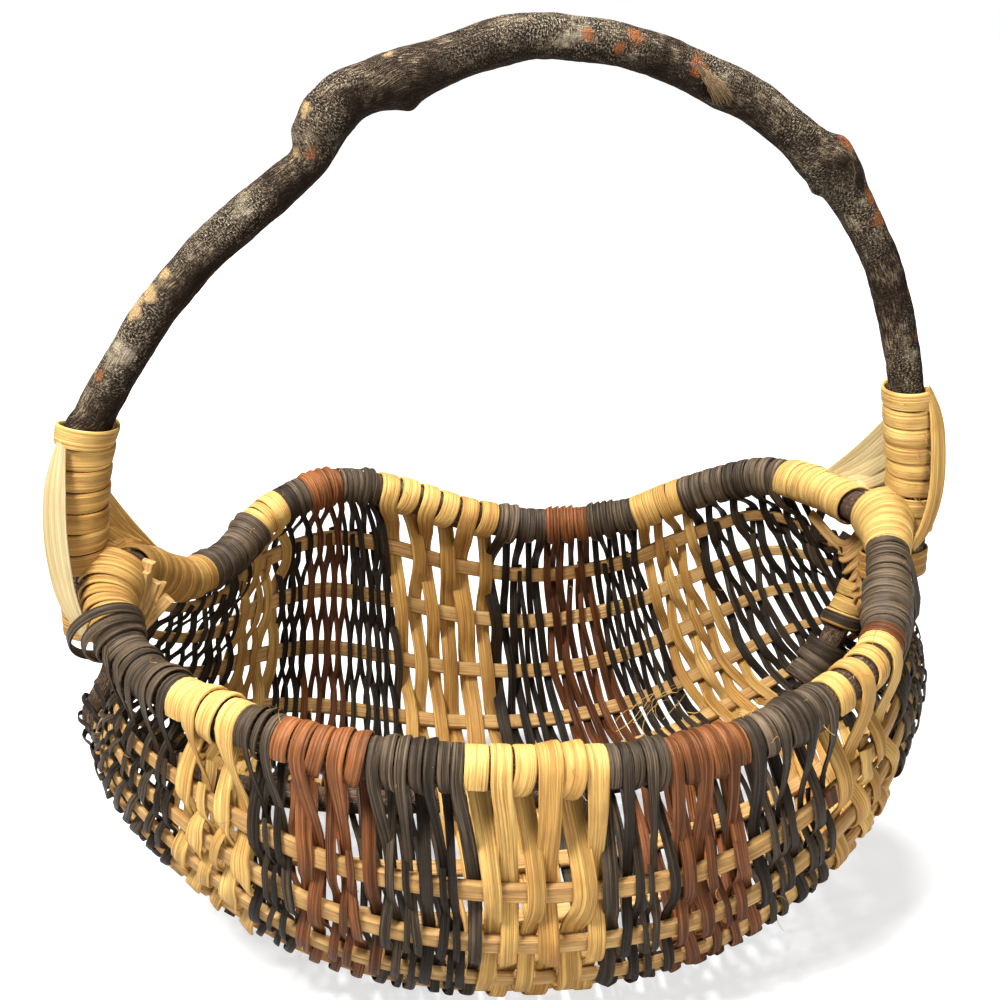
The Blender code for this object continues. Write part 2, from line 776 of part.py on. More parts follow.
def helix(path, built, sign, start, width, turns, core, outward):
    """Points and widths of reed wound round a member, from this distance along its path."""
    radius = (core + RIM_SEAT_GAP + REED_THICKNESS / 2) / math.cos(math.pi / TURN_POINTS)
    points, widths = [], []
    for i in range(turns * TURN_POINTS + 1):
        place = (start + (width + TURN_SPACING) * i / TURN_POINTS) / path.length
        share = place if sign < 0 else 1 - place
        way = path.tangent(share, LEAN_LENGTH / path.length)
        out = unit(outward - np.dot(outward, way) * way)
        angle = 2 * math.pi * i / TURN_POINTS
        spoke = math.cos(angle) * out + math.sin(angle) * np.cross(way, out)
        points.append(built.at(share)[:3] + radius * spoke)
        widths.append(way)
    return points, widths


def self_gap(points, width, turn_points):
    """The least gap between neighbouring turns, measured from point to point."""
    points = np.asarray(points)
    spacing = np.linalg.norm(points[turn_points:] - points[:-turn_points], axis=1).min()
    return spacing - width


def make_ear(side):
    """One ear's lashing: windings on the handle's foot, both rims and the lapped spine."""
    sign = SIDES[side]
    outward = np.array([sign, 0.0, 0.0])
    broad = flat_profile(f"{side}_broad_reed", BROAD_WIDTH, REED_THICKNESS)
    narrow = flat_profile(f"{side}_narrow_reed", NARROW_WIDTH, REED_THICKNESS)
    windings = (
        ("handle_winding", broad, BROAD_WIDTH, HANDLE, HANDLE, HANDLE_WRAP_START, HANDLE_WRAP_TURNS,
         HANDLE_WRAP_CORE_SHARE * HANDLE_RADIUS),
        ("front_winding", narrow, NARROW_WIDTH, FRONT_RIM, FRONT_HOOP, FRONT_WRAP_START,
         FRONT_WRAP_TURNS, RIM_RADIUS),
        ("back_winding", broad, BROAD_WIDTH, BACK_RIM, BACK_HOOP, BACK_WRAP_START,
         BACK_WRAP_TURNS[side], RIM_RADIUS),
    )
    for name, profile, width, path, built, start, turns, core in windings:
        points, widths = helix(path, built, sign, start, width, turns, core, outward)
        strand(f"{side}_{name}", "natural_reed", profile, points, widths)
        print(f"{side}_{name}: least gap to itself {self_gap(points, width, TURN_POINTS) * 1000:.2f} mm")
    half_turn = TURN_POINTS // 2
    round_handle = [(HANDLE_HALF_SPAN, FOOT_RADIUS, i - half_turn / 2) for i in range(half_turn + 1)]
    round_spine = [(SPINE_FOOT_X, SPINE_RADIUS, i + half_turn / 2) for i in range(half_turn + 1)]
    loop = round_handle + round_spine
    points = []
    for i in range(SPINE_WRAP_TURNS * len(loop)):
        centre, core, step = loop[i % len(loop)]
        angle = 2 * math.pi * step / TURN_POINTS
        reach = (core + SEAT_GAP + REED_THICKNESS / 2) / math.cos(math.pi / TURN_POINTS)
        height = SPINE_WRAP_START + (NARROW_WIDTH + SPINE_TURN_SPACING) * i / len(loop)
        points.append((sign * (centre + reach * math.cos(angle)), reach * math.sin(angle), height))
    strand(f"{side}_spine_winding", "natural_reed", narrow, points, [(0, 0, 1)] * len(points))
    gap = self_gap(points, NARROW_WIDTH, len(loop))
    print(f"{side}_spine_winding: least gap to itself {gap * 1000:.2f} mm")


def make_web(side, lobe):
    """The lashing's flat web between the handle's foot and the rim, strand beside strand."""
    sign = SIDES[side]
    rim, turned = (FRONT_RIM, -1) if lobe == "front" else (BACK_RIM, 1)
    columns = 2 * WEB_STRANDS + 1
    shape = bmesh.new()
    bmesh.ops.create_grid(shape, x_segments=columns - 1, y_segments=WEB_ROWS - 1, size=1)
    clear = RIM_SEAT_GAP + REED_THICKNESS + SEAT_GAP + WEB_THICKNESS
    for vertex in shape.verts:
        across = (vertex.co.x + 1) / 2
        down = (vertex.co.y + 1) / 2
        height = WEB_HANDLE_LOW + (WEB_HANDLE_HIGH - WEB_HANDLE_LOW) * across
        share = (height - FOOT_HEIGHT) / HANDLE.length
        top = HANDLE.at(share if sign < 0 else 1 - share)[:3]
        lean = unit(np.array([sign, turned, 0.0]))
        top = top + lean * (HANDLE_WRAP_CORE_SHARE * HANDLE_RADIUS + clear)
        place = (WEB_RIM_NEAR + (WEB_RIM_FAR - WEB_RIM_NEAR) * across) / rim.length
        share = place if sign < 0 else 1 - place
        way = rim.tangent(share)
        out = np.array([sign, 0.0, 0.0])
        out = unit(out - np.dot(out, way) * way)
        foot = rim.at(share) + out * (RIM_RADIUS + clear)
        ridge = WEB_RIDGE if round(across * (columns - 1)) % 2 else -WEB_RIDGE
        bulge = WEB_BULGE * math.sin(math.pi * down) + ridge
        vertex.co = Vector(top + (foot - top) * down + bulge * unit(lean + out))
    mesh = bpy.data.meshes.new(f"{side}_{lobe}_web")
    shape.to_mesh(mesh)
    shape.free()
    mesh.materials.append(finish("natural_reed"))
    web = bpy.data.objects.new(f"{side}_{lobe}_web", mesh)
    parts.objects.link(web)
    web.parent = basket
    shell = web.modifiers.new("thickness", "SOLIDIFY")
    shell.thickness = WEB_THICKNESS
    shell.offset = 0


def corners(obj):
    """The evaluated shape's points in the basket's own frame, as an array."""
    graph = bpy.context.evaluated_depsgraph_get()
    evaluated = obj.evaluated_get(graph)
    mesh = evaluated.to_mesh()
    points = np.empty(len(mesh.vertices) * 3, np.float32)
    mesh.vertices.foreach_get("co", points)
    evaluated.to_mesh_clear()
    world = np.array(obj.matrix_world)
    return points.reshape(-1, 3) @ world[:3, :3].T + world[:3, 3]


def cut_standing_faces(bands):
    """The lowest strands are worn flat where the basket stands."""
    bpy.context.view_layer.update()
    lows = [corners(band)[:, 2].min() for band in bands]
    level = min(lows) + STANDING_CUT
    shape = bmesh.new()
    bmesh.ops.create_cube(shape, size=1)
    size = (3 * RIM_HALF_LENGTH, 3 * RIM_HALF_DEPTH, BOWL_DEPTH)
    bmesh.ops.scale(shape, verts=shape.verts, vec=size)
    bmesh.ops.translate(shape, verts=shape.verts, vec=(0, 0, level - BOWL_DEPTH / 2))
    mesh = bpy.data.meshes.new("ground_cutter")
    shape.to_mesh(mesh)
    shape.free()
    ground = bpy.data.objects.new("ground_cutter", mesh)
    ground.hide_render = True
    ground.display_type = "WIRE"
    ground.parent = basket
    cutters.objects.link(ground)
    for band, low in zip(bands, lows):
        if low < level:
            cut = as_mesh(band).modifiers.new("standing_face", "BOOLEAN")
            cut.operation = "DIFFERENCE"
            cut.object = ground


def stand_on_origin():
    """Moves the basket so that its origin is under its middle, at the standing faces."""
    bpy.context.view_layer.update()
    solids = [obj for obj in parts.objects if obj.type in ("MESH", "CURVE")]
    points = np.vstack([corners(obj) for obj in solids])
    low, high = points.min(axis=0), points.max(axis=0)
    middle = (low + high) / 2
    basket.location = (-middle[0], -middle[1], -low[2])
    print(f"origin above the front rim's middle: {[round(float(v), 5) for v in basket.location]}")


def main():
    clear_scene()
    make_rim()
    make_spine()
    make_handle()
    make_ribs()
    bands = make_bands()
    for side in SIDES:
        make_ear(side)
        for lobe in ("front", "back"):
            make_web(side, lobe)
    cut_standing_faces(bands)
    stand_on_origin()


main()
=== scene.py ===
# %% [markdown]
# # A twin-lobed ribbed basket
# This kind of basket is built from two hoops of wood, a bark-covered branch for the handle and a
# vine for the rim. They cross at two lashed ears. Flat ribs run from ear to ear, and reed is woven
# over and under them from rim to rim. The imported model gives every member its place. Here each
# one gets the shape and the finish that the eye sees.

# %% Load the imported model
import math

import bpy
import numpy as np
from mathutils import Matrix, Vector


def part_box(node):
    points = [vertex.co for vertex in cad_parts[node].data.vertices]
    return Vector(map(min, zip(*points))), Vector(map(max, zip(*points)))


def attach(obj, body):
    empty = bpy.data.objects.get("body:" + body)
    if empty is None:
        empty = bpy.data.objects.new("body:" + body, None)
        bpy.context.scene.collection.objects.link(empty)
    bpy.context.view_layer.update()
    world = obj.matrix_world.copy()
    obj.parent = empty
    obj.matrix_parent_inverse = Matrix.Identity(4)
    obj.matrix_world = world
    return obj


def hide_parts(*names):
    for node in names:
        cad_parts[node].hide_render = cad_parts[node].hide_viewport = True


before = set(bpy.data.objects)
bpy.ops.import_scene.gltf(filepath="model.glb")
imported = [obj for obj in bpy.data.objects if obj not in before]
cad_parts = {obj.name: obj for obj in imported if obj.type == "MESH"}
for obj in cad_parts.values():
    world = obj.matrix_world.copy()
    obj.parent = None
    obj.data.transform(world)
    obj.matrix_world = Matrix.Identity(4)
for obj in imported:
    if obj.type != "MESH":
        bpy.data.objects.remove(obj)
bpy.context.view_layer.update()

print("nodes in the frame:", len(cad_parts))

# %% [markdown]
# ## Curves that are read by length
# Every member follows a curve. A Catmull-Rom curve passes through its points, so a few measured
# places are enough, and reading it by the share of its length keeps patterns evenly spaced.

# %% A curve through points
def smooth_points(points, steps=16):
    """A Catmull-Rom curve through the points, as many closer points."""
    points = np.asarray(points, float)
    ends = 2 * points[0] - points[1], 2 * points[-1] - points[-2]
    padded = np.vstack([ends[0], points, ends[1]])
    found = []
    for a, b, c, d in zip(padded[:-3], padded[1:-2], padded[2:-1], padded[3:]):
        t = np.arange(steps)[:, None] / steps
        found.append(
            b + (c - a) * t / 2 + (a - 2.5 * b + 2 * c - d / 2) * t**2
            + (1.5 * (b - c) + (d - a) / 2) * t**3
        )
    return np.vstack([*found, points[-1]])


def unit(vectors):
    vectors = np.asarray(vectors, float)
    return vectors / np.linalg.norm(vectors, axis=-1, keepdims=True)


class Route:
    """A curve that is read by the share of its length, at one place or at many."""

    def __init__(self, points, steps=16):
        self.points = smooth_points(points, steps)
        runs = np.linalg.norm(np.diff(self.points[:, :3], axis=0), axis=1)
        self.lengths = np.concatenate([[0], np.cumsum(runs)])
        self.length = self.lengths[-1]

    def at(self, share):
        place = np.clip(share, 0, 1) * self.length
        return np.stack([np.interp(place, self.lengths, c) for c in self.points.T], axis=-1)

    def way(self, share, step=0.004):
        share = np.asarray(share, float)
        return unit(self.at(share + step)[..., :3] - self.at(share - step)[..., :3])


arc = Route([(math.cos(a), math.sin(a), 0) for a in np.linspace(0, math.pi / 2, 7)])
print("a quarter circle measures", round(arc.length, 4), "where", round(math.pi / 2, 4), "is right")

# %% [markdown]
# ## The basket's main lines
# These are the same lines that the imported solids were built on: the rim seen from above and from
# the front, the handle's arch, and the middle section of the two lobes. Lengths are in metres.
# The lines could be traced as splines by hand. Tables of shares are used, so the basket can be
# made larger or deeper by one number, and every piece follows.

# %% Rim, handle and section
RIM_HALF_LENGTH, RIM_HALF_DEPTH, EAR_RISE = 0.177, 0.136, 0.040
BOWL_DEPTH, SIDE_BULGE, HANDLE_HEIGHT = 0.128, 0.024, 0.266
HANDLE_RADIUS, RIM_RADIUS, SPINE_RADIUS = 0.0100, 0.0080, 0.0058
EAR_SEAT_GAP, SEAT_GAP = 0.0012, 0.0003
RIB_WIDTH, RIB_THICKNESS = 0.0080, 0.0040
FRONT_RIM_SHARES = (
    (-1.000, 0.010, 0.98), (-1.034, -0.145, 0.68), (-0.975, -0.325, 0.32), (-0.853, -0.560, 0.25),
    (-0.678, -0.780, 0.20), (-0.508, -0.898, 0.10), (-0.254, -0.985, 0.01), (0.000, -1.007, -0.07),
    (0.254, -0.985, -0.10), (0.480, -0.910, 0.00), (0.706, -0.750, 0.15), (0.842, -0.580, 0.26),
    (0.921, -0.382, 0.55), (0.984, -0.165, 0.92), (1.000, 0.015, 1.02),
)
BACK_RIM_SHARES = (
    (-1.000, 0.010, 0.98), (-0.962, 0.190, 0.74), (-0.864, 0.405, 0.26), (-0.740, 0.632, 0.22),
    (-0.621, 0.795, 0.54), (-0.429, 0.920, 0.72), (-0.226, 0.980, 0.48), (0.000, 0.993, 0.08),
    (0.226, 0.978, -0.12), (0.475, 0.897, 0.03), (0.650, 0.795, 0.43), (0.836, 0.596, 0.88),
    (0.944, 0.368, 0.98), (1.000, 0.015, 1.02),
)
HANDLE_SHARES = (
    (-1.000, 0.045, 0.90), (-1.000, 0.150, 0.90), (-0.985, 0.278, 0.90), (-0.944, 0.414, 0.91),
    (-0.856, 0.523, 0.96), (-0.800, 0.590, 0.95), (-0.708, 0.662, 0.97), (-0.610, 0.718, 0.97),
    (-0.523, 0.771, 1.00), (-0.451, 0.823, 1.06), (-0.410, 0.876, 1.14), (-0.359, 0.914, 1.06),
    (-0.256, 0.932, 1.06), (-0.138, 0.974, 1.07), (0.010, 1.000, 0.99), (0.133, 0.996, 0.94),
    (0.267, 0.981, 0.93), (0.421, 0.936, 1.02), (0.544, 0.895, 1.04), (0.687, 0.812, 1.06),
    (0.754, 0.774, 1.14), (0.810, 0.699, 0.95), (0.882, 0.605, 0.94), (0.923, 0.511, 0.87),
    (0.954, 0.417, 0.85), (0.985, 0.278, 0.88), (1.000, 0.150, 0.90), (1.000, 0.045, 0.90),
)
SECTION_SHARES = (
    (-1.000, 0.00), (-1.045, -0.24), (-1.055, -0.47), (-1.005, -0.71), (-0.865, -0.91),
    (-0.660, -1.00), (-0.430, -0.97), (-0.210, -0.84), (0.000, -0.74), (0.210, -0.84),
    (0.430, -0.97), (0.660, -1.011), (0.865, -0.91), (1.005, -0.71), (1.055, -0.47),
    (1.045, -0.24), (1.000, 0.00),
)
FOOT_RADIUS = HANDLE_RADIUS * HANDLE_SHARES[0][2]
FOOT_HEIGHT = HANDLE_HEIGHT * HANDLE_SHARES[0][1]
HANDLE_HALF_SPAN = RIM_HALF_LENGTH + RIM_RADIUS + EAR_SEAT_GAP + FOOT_RADIUS
SPINE_FOOT_X = HANDLE_HALF_SPAN - FOOT_RADIUS - SEAT_GAP - SPINE_RADIUS
rim_size = np.array([RIM_HALF_LENGTH, RIM_HALF_DEPTH, EAR_RISE])
front_rim = Route(np.array(FRONT_RIM_SHARES) * rim_size)
back_rim = Route(np.array(BACK_RIM_SHARES) * rim_size)
section = Route([(0, y * RIM_HALF_DEPTH, z * BOWL_DEPTH) for y, z in SECTION_SHARES])
handle = Route([
    (x * HANDLE_HALF_SPAN, 0, z * HANDLE_HEIGHT, r * HANDLE_RADIUS) for x, z, r in HANDLE_SHARES
])
rims = {"front": front_rim, "back": back_rim}
hoop = np.vstack([front_rim.points, back_rim.points])
rim_low, rim_high = (np.array(corner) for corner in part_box("rim_hoop"))
HOME = (rim_low + rim_high) / 2 - (hoop.min(axis=0) + hoop.max(axis=0)) / 2
print("front rim", round(front_rim.length, 4), "back rim", round(back_rim.length, 4), "home", HOME)

# %% [markdown]
# ## The wall as one surface
# A point of the wall is named by two shares: along, from ear to ear, and around, from the front
# rim under the bowl to the back rim. Near each rim the wall follows the rim's own waves. A mesh
# could be modelled and sampled, but a formula gives any point at once, and its outward way too.

# %% The wall
EAR_ARCH_HALF_WIDTH, EAR_ARCH_TOP, EAR_ARCH_DROP = 0.027, 0.014, 0.028
RIM_REACH_SHARE, EAR_REACH_SHARE = 0.45, 0.20
DROP_POWER, REACH_POWER, LEAN_POWER, SWELL_AT = 0.95, 0.83, 0.75, 0.30


def plain_wall(along, around):
    """The wall without the rims' waves: the middle section, shrunk towards an arch at each ear."""
    angle = (2 * along - 1) * math.pi / 2
    drop = np.maximum(np.cos(angle), 0) ** DROP_POWER
    reach = np.abs(np.sin(angle)) ** REACH_POWER
    near_ear = drop / SWELL_AT
    swell = near_ear * np.exp(1 - near_ear) * np.sin(math.pi * around)
    x = np.sign(angle) * reach * (RIM_HALF_LENGTH + SIDE_BULGE * swell)
    arch = math.pi * around
    lean = -np.sign(np.cos(arch)) * np.abs(np.cos(arch)) ** LEAN_POWER
    y, z = lean * EAR_ARCH_HALF_WIDTH, EAR_ARCH_TOP - EAR_ARCH_DROP * np.sin(arch)
    middle = section.at(around)
    return np.stack([x, y + (middle[..., 1] - y) * drop, z + (middle[..., 2] - z) * drop], axis=-1)


def wall(along, around):
    """A point of the wall, with the waves of the rim that is near it."""
    along, around = np.broadcast_arrays(np.asarray(along, float), np.asarray(around, float))
    point = plain_wall(along, around)
    from_ear = np.clip(np.minimum(along, 1 - along) / EAR_REACH_SHARE, 0, 1)
    waves = from_ear * from_ear * (3 - 2 * from_ear)
    for rim, edge in ((front_rim, 0.0), (back_rim, 1.0)):
        from_rim = np.clip(np.abs(around - edge) / RIM_REACH_SHARE, 0, 1)
        near = np.where(from_rim == 0, 1, waves) * (1 - from_rim**2) ** 2
        missed = rim.at(along) - plain_wall(along, np.full_like(around, edge))
        point = point + near[..., None] * missed
    return point


def wall_ways(along, around, step=0.003):
    """The ways lengthwise and outward at points of the wall."""
    lengthwise = unit(wall(along + step, around) - wall(along - step, around))
    across = wall(along, np.minimum(around + step, 1)) - wall(along, np.maximum(around - step, 0))
    return lengthwise, unit(np.cross(across, lengthwise))


print("section length", round(section.length, 4), "deepest point", wall(0.5, 0.33).round(4))

# %% [markdown]
# ## Materials: what they have in common
# Reed is split from rattan core, so it shows fine fibres along its length. Bark is rough and
# spotted. Both effects are shader node groups, so each finish can place them with its own values.
# The pattern follows each strand, because the strands carry their own UV map in metres.

# %% Helpers for node trees
def fill(tree, inputs, values):
    """Links or sets inputs, by name or by number."""
    for name, source in values.items():
        if isinstance(source, bpy.types.NodeSocket):
            tree.links.new(source, inputs[name])
        else:
            inputs[name].default_value = source


def new_node(tree, kind, links=None, **values):
    """Adds a node, sets its values, and links or sets its inputs."""
    node = tree.nodes.new(kind)
    for name, value in values.items():
        setattr(node, name, value)
    fill(tree, node.inputs, links or {})
    return node


def made(tree, kind, links=None, **values):
    """The first output of a new node."""
    return new_node(tree, kind, links, **values).outputs[0]


def math_node(tree, operation, first, second=0.0):
    return made(tree, "ShaderNodeMath", {0: first, 1: second}, operation=operation)


def plus(tree, first, second):
    return math_node(tree, "ADD", first, second)


def times(tree, first, second):
    return math_node(tree, "MULTIPLY", first, second)


def vector_math(tree, operation, first, second):
    links = {0: first, ("Scale" if operation == "SCALE" else 1): second}
    return made(tree, "ShaderNodeVectorMath", links, operation=operation)


def combine(tree, **parts):
    return made(tree, "ShaderNodeCombineXYZ", parts)


def noise(tree, vector, scale, detail, **more):
    links = {"Vector": vector, "Scale": scale, "Detail": detail, **more}
    return made(tree, "ShaderNodeTexNoise", links)


def ramp(tree, value, low, high, to_low=0.0, to_high=1.0):
    """A value brought from one range to another, and kept inside it."""
    links = {"Value": value, "From Min": low, "From Max": high, "To Min": to_low, "To Max": to_high}
    return made(tree, "ShaderNodeMapRange", links)


def mix_colours(tree, share, *colours):
    """The second colour over the first. Each is a socket, or three numbers."""
    node = new_node(tree, "ShaderNodeMix", data_type="RGBA")
    sockets = {socket.identifier: socket for socket in (*node.inputs, *node.outputs)}
    first, second = (c if isinstance(c, bpy.types.NodeSocket) else (*c, 1.0) for c in colours)
    fill(tree, sockets, {"Factor_Float": share, "A_Color": first, "B_Color": second})
    return sockets["Result_Color"]


def add_sockets(tree, way, rows):
    """Named sockets on a group's outside. Each row: name, kind and, for an input, its default."""
    for name, kind, *default in rows:
        socket = tree.interface.new_socket(name, in_out=way, socket_type=f"NodeSocket{kind}")
        if default and default[0] is not None:
            socket.default_value = default[0]


def new_group(name, kind, inputs, outputs):
    """A node group with named sockets, and what its input and output nodes offer."""
    group = bpy.data.node_groups.new(name, kind)
    add_sockets(group, "INPUT", inputs)
    add_sockets(group, "OUTPUT", outputs)
    given, out = group.nodes.new("NodeGroupInput"), group.nodes.new("NodeGroupOutput")
    return group, given.outputs, out.inputs


print("node helpers for Blender", bpy.app.version_string)

# %% Fibres along a strand
# How much finer the thin fibres are than the streaks, and how close the blotches lie in a metre.
THIN_ALONG, THIN_ACROSS, THIN_SHARE = 3.1, 2.7, 0.45
BLOTCHES = (60.0, 110.0, 1.0)


def make_fibre_group():
    """Fine streaks along a strand. UV x runs along it and UV y across it, both in metres."""
    group, given, out = new_group(
        "reed_fibres", "ShaderNodeTree",
        [("UV", "Vector", None), ("Across", "Float", 900.0), ("Along", "Float", 22.0)],
        [("Streaks", "Float"), ("Blotches", "Float"), ("Height", "Float")],
    )
    parts = new_node(group, "ShaderNodeSeparateXYZ", {0: given["UV"]}).outputs
    along = times(group, parts["X"], given["Along"])
    across = times(group, parts["Y"], given["Across"])
    streaks = noise(group, combine(group, X=along, Y=across), 1.0, 3.0)
    thin_ways = {"X": times(group, along, THIN_ALONG), "Y": times(group, across, THIN_ACROSS)}
    thin = noise(group, combine(group, **thin_ways, Z=4.0), 1.0, 2.0)
    blotches = noise(group, vector_math(group, "MULTIPLY", given["UV"], BLOTCHES), 1.0, 4.0)
    fill(group, out, {
        "Streaks": ramp(group, streaks, 0.34, 0.66),
        "Blotches": ramp(group, blotches, 0.35, 0.68),
        "Height": plus(group, streaks, times(group, thin, THIN_SHARE)),
    })
    return group


fibre_group = make_fibre_group()
print("group", fibre_group.name)

# %% Bark: ridges, lichen and rubbed places
# How close each pattern lies in a metre: on the whole branch, or along it and round it.
PLATES, PATCHES, GRAIN, RUBS = 95.0, 22.0, 620.0, 240.0
FLECKS, RIDGES, PORES = (1500.0, 800.0, 1.0), (260.0, 1500.0, 1.0), (1500.0, 190.0, 1.0)
RUBS_ASIDE = (0.31, 0.17, 0.23)


def make_bark_group():
    """Bark: plates, pale lichen, ragged edges for spots, and height."""
    group, given, out = new_group(
        "branch_bark", "ShaderNodeTree",
        [("Place", "Vector", None), ("UV", "Vector", None), ("Scale", "Float", 1.0)],
        [("Tone", "Float"), ("Lichen", "Float"), ("Edge", "Float"), ("Height", "Float")],
    )

    def along_member(factors, detail, **more):
        vector = vector_math(group, "MULTIPLY", given["UV"], factors)
        return noise(group, vector, 1.0, detail, **more)

    place = vector_math(group, "SCALE", given["Place"], given["Scale"])
    plates = noise(group, place, PLATES, 8.0, Roughness=0.62)
    patches = noise(group, place, PATCHES, 4.0)
    grain = noise(group, place, GRAIN, 4.0)
    rubs = noise(group, vector_math(group, "ADD", place, RUBS_ASIDE), RUBS, 5.0)
    flecks = along_member(FLECKS, 5.0, Roughness=0.65)
    ridges = along_member(RIDGES, 4.0, Distortion=0.6)
    pores = along_member(PORES, 2.0)
    where_fine = ramp(group, patches, 0.42, 0.58, 0.10, 1.0)
    where_broad = ramp(group, patches, 0.52, 0.66, 0.0, 0.8)
    fine_lichen = times(group, ramp(group, flecks, 0.50, 0.62), where_fine)
    broad_lichen = times(group, ramp(group, plates, 0.52, 0.62), where_broad)
    tone = plus(group, times(group, ridges, 0.5), times(group, plates, 0.5))
    height = plus(group, plus(group, plates, ridges), times(group, pores, 0.5))
    fill(group, out, {
        "Tone": ramp(group, tone, 0.36, 0.64),
        "Lichen": math_node(group, "MAXIMUM", fine_lichen, broad_lichen),
        "Edge": ramp(group, rubs, 0.3, 0.7),
        "Height": plus(group, height, times(group, grain, 0.35)),
    })
    return group


bark_group = make_bark_group()
print("group", bark_group.name)

# %% [markdown]
# ## Finishes
# Each strand of real reed has a colour of its own, so the finish reads a tone that the strand's
# mesh carries. Image textures could do the same, but nodes stay sharp at any distance.

# %% Reed finishes
REED_RELIEF, REED_SHINE = 0.0010, 0.16
LOW_SHARE, LIGHT_FROM, BLOTCH_FROM = 0.55, 0.2, 0.35
ROUGHER, SMOOTHER = 0.10, 0.06


def new_finish(name):
    material = bpy.data.materials.new(name)
    material.use_nodes = True
    tree = material.node_tree
    return material, tree, tree.nodes["Principled BSDF"]


def attribute(tree, name):
    return new_node(tree, "ShaderNodeAttribute", attribute_name=name).outputs["Fac"]


def reed_finish(name, dark, mid, light, blotch_colour, blotch_share, roughness, bump, across=900.0):
    """Split reed: streaks along the strand, blotches, and a tone of its own for each strand."""
    material, tree, shader = new_finish(name)
    uv = made(tree, "ShaderNodeUVMap", uv_map="strand_uv")
    links = {"UV": uv, "Across": across}
    fibres = new_node(tree, "ShaderNodeGroup", links, node_tree=fibre_group).outputs
    tone = attribute(tree, "tone")
    low = mix_colours(tree, ramp(tree, tone, 0.0, 1.0, 0.0, LOW_SHARE), dark, mid)
    high = mix_colours(tree, ramp(tree, tone, LIGHT_FROM, 1.0), mid, light)
    body = mix_colours(tree, fibres["Streaks"], low, high)
    stain = ramp(tree, fibres["Blotches"], BLOTCH_FROM, 1.0, 0.0, blotch_share)
    rough = (roughness + ROUGHER, roughness - SMOOTHER)
    relief = {"Height": fibres["Height"], "Strength": bump, "Distance": REED_RELIEF}
    fill(tree, shader.inputs, {
        "Base Color": mix_colours(tree, stain, body, blotch_colour),
        "Roughness": ramp(tree, fibres["Streaks"], 0.0, 1.0, *rough),
        "Normal": made(tree, "ShaderNodeBump", relief),
        "Specular IOR Level": REED_SHINE,
    })
    return material


# Each reed: dark, middle and light fibres, the blotches and their share, how rough it is, how
# strong its relief is and, where it isn't 900, how many fibres lie side by side in a metre.
REED_FINISHES = {
    "natural_reed": ((0.23, 0.10, 0.022), (0.60, 0.335, 0.088), (0.89, 0.61, 0.200),
                     (0.34, 0.14, 0.035), 0.50, 0.46, 0.75, 1100.0),
    "dark_reed": ((0.005, 0.0034, 0.0024), (0.036, 0.024, 0.0145), (0.250, 0.176, 0.108),
                  (0.010, 0.008, 0.007), 0.60, 0.44, 1.0),
    "red_reed": ((0.026, 0.008, 0.003), (0.145, 0.046, 0.0145), (0.47, 0.172, 0.055),
                 (0.050, 0.022, 0.014), 0.50, 0.42, 1.0),
    "rib_reed": ((0.30, 0.14, 0.040), (0.55, 0.32, 0.11), (0.74, 0.50, 0.21),
                 (0.22, 0.10, 0.03), 0.55, 0.56, 0.7),
    "pale_reed": ((0.34, 0.24, 0.10), (0.52, 0.40, 0.20), (0.66, 0.55, 0.31),
                  (0.44, 0.32, 0.15), 0.45, 0.55, 0.6),
    "torn_bark": ((0.035, 0.018, 0.009), (0.19, 0.115, 0.055), (0.46, 0.33, 0.18),
                  (0.03, 0.015, 0.008), 0.70, 0.60, 1.0),
}
finishes = {name: reed_finish(name, *values) for name, values in REED_FINISHES.items()}
print("reed finishes:", sorted(finishes))

# %% Bark finishes
BARK_ROUGHNESS, BARK_SHINE, BARK_RELIEF = 0.72, 0.08, 0.0024
PALE_SHARE, LICHEN_SHARE, PAINTED_SHADE_SHARE, SPOT_SHARE = 0.80, 0.66, 0.88, 0.80
EDGE_IN_SHADE, LICHEN_IN_SHADE, EDGE_IN_SPOTS = 0.45, 0.20, 0.55


def bark_finish(name, dark, mid, pale, lichen, painted_shade_colour, rubbed, peeled, scale, bump):
    """Bark on a branch or a vine, with spots and painted shade where the mesh has their attributes.
    """
    material, tree, shader = new_finish(name)
    place = new_node(tree, "ShaderNodeTexCoord").outputs["Object"]
    uv = made(tree, "ShaderNodeUVMap", uv_map="strand_uv")
    links = {"Place": place, "UV": uv, "Scale": scale}
    bark = new_node(tree, "ShaderNodeGroup", links, node_tree=bark_group).outputs
    body = mix_colours(tree, bark["Tone"], dark, mid)
    body = mix_colours(tree, ramp(tree, bark["Tone"], 0.60, 1.0, 0.0, PALE_SHARE), body, pale)
    body = mix_colours(tree, ramp(tree, bark["Lichen"], 0.0, 1.0, 0.0, LICHEN_SHARE), body, lichen)
    # Painted shade: the mesh's attribute darkens the branch on the side away from the light and in
    # its darker spots; the rubs noise adds random dark patches, on the vine too, and lichen takes
    # some shade away.
    shade = plus(tree, attribute(tree, "painted_shade"), times(tree, bark["Edge"], EDGE_IN_SHADE))
    shade = math_node(tree, "SUBTRACT", shade, times(tree, bark["Lichen"], LICHEN_IN_SHADE))
    body = mix_colours(tree, ramp(tree, shade, 0.34, 0.80, 0.0, PAINTED_SHADE_SHARE), body, painted_shade_colour)
    for spot, colour in (("rubbed", rubbed), ("peeled", peeled)):
        ragged = plus(tree, attribute(tree, spot), times(tree, bark["Edge"], EDGE_IN_SPOTS))
        body = mix_colours(tree, ramp(tree, ragged, 0.62, 1.05, 0.0, SPOT_SHARE), body, colour)
    relief = {"Height": bark["Height"], "Strength": bump, "Distance": BARK_RELIEF}
    fill(tree, shader.inputs, {
        "Base Color": body,
        "Normal": made(tree, "ShaderNodeBump", relief),
        "Roughness": BARK_ROUGHNESS,
        "Specular IOR Level": BARK_SHINE,
    })
    return material
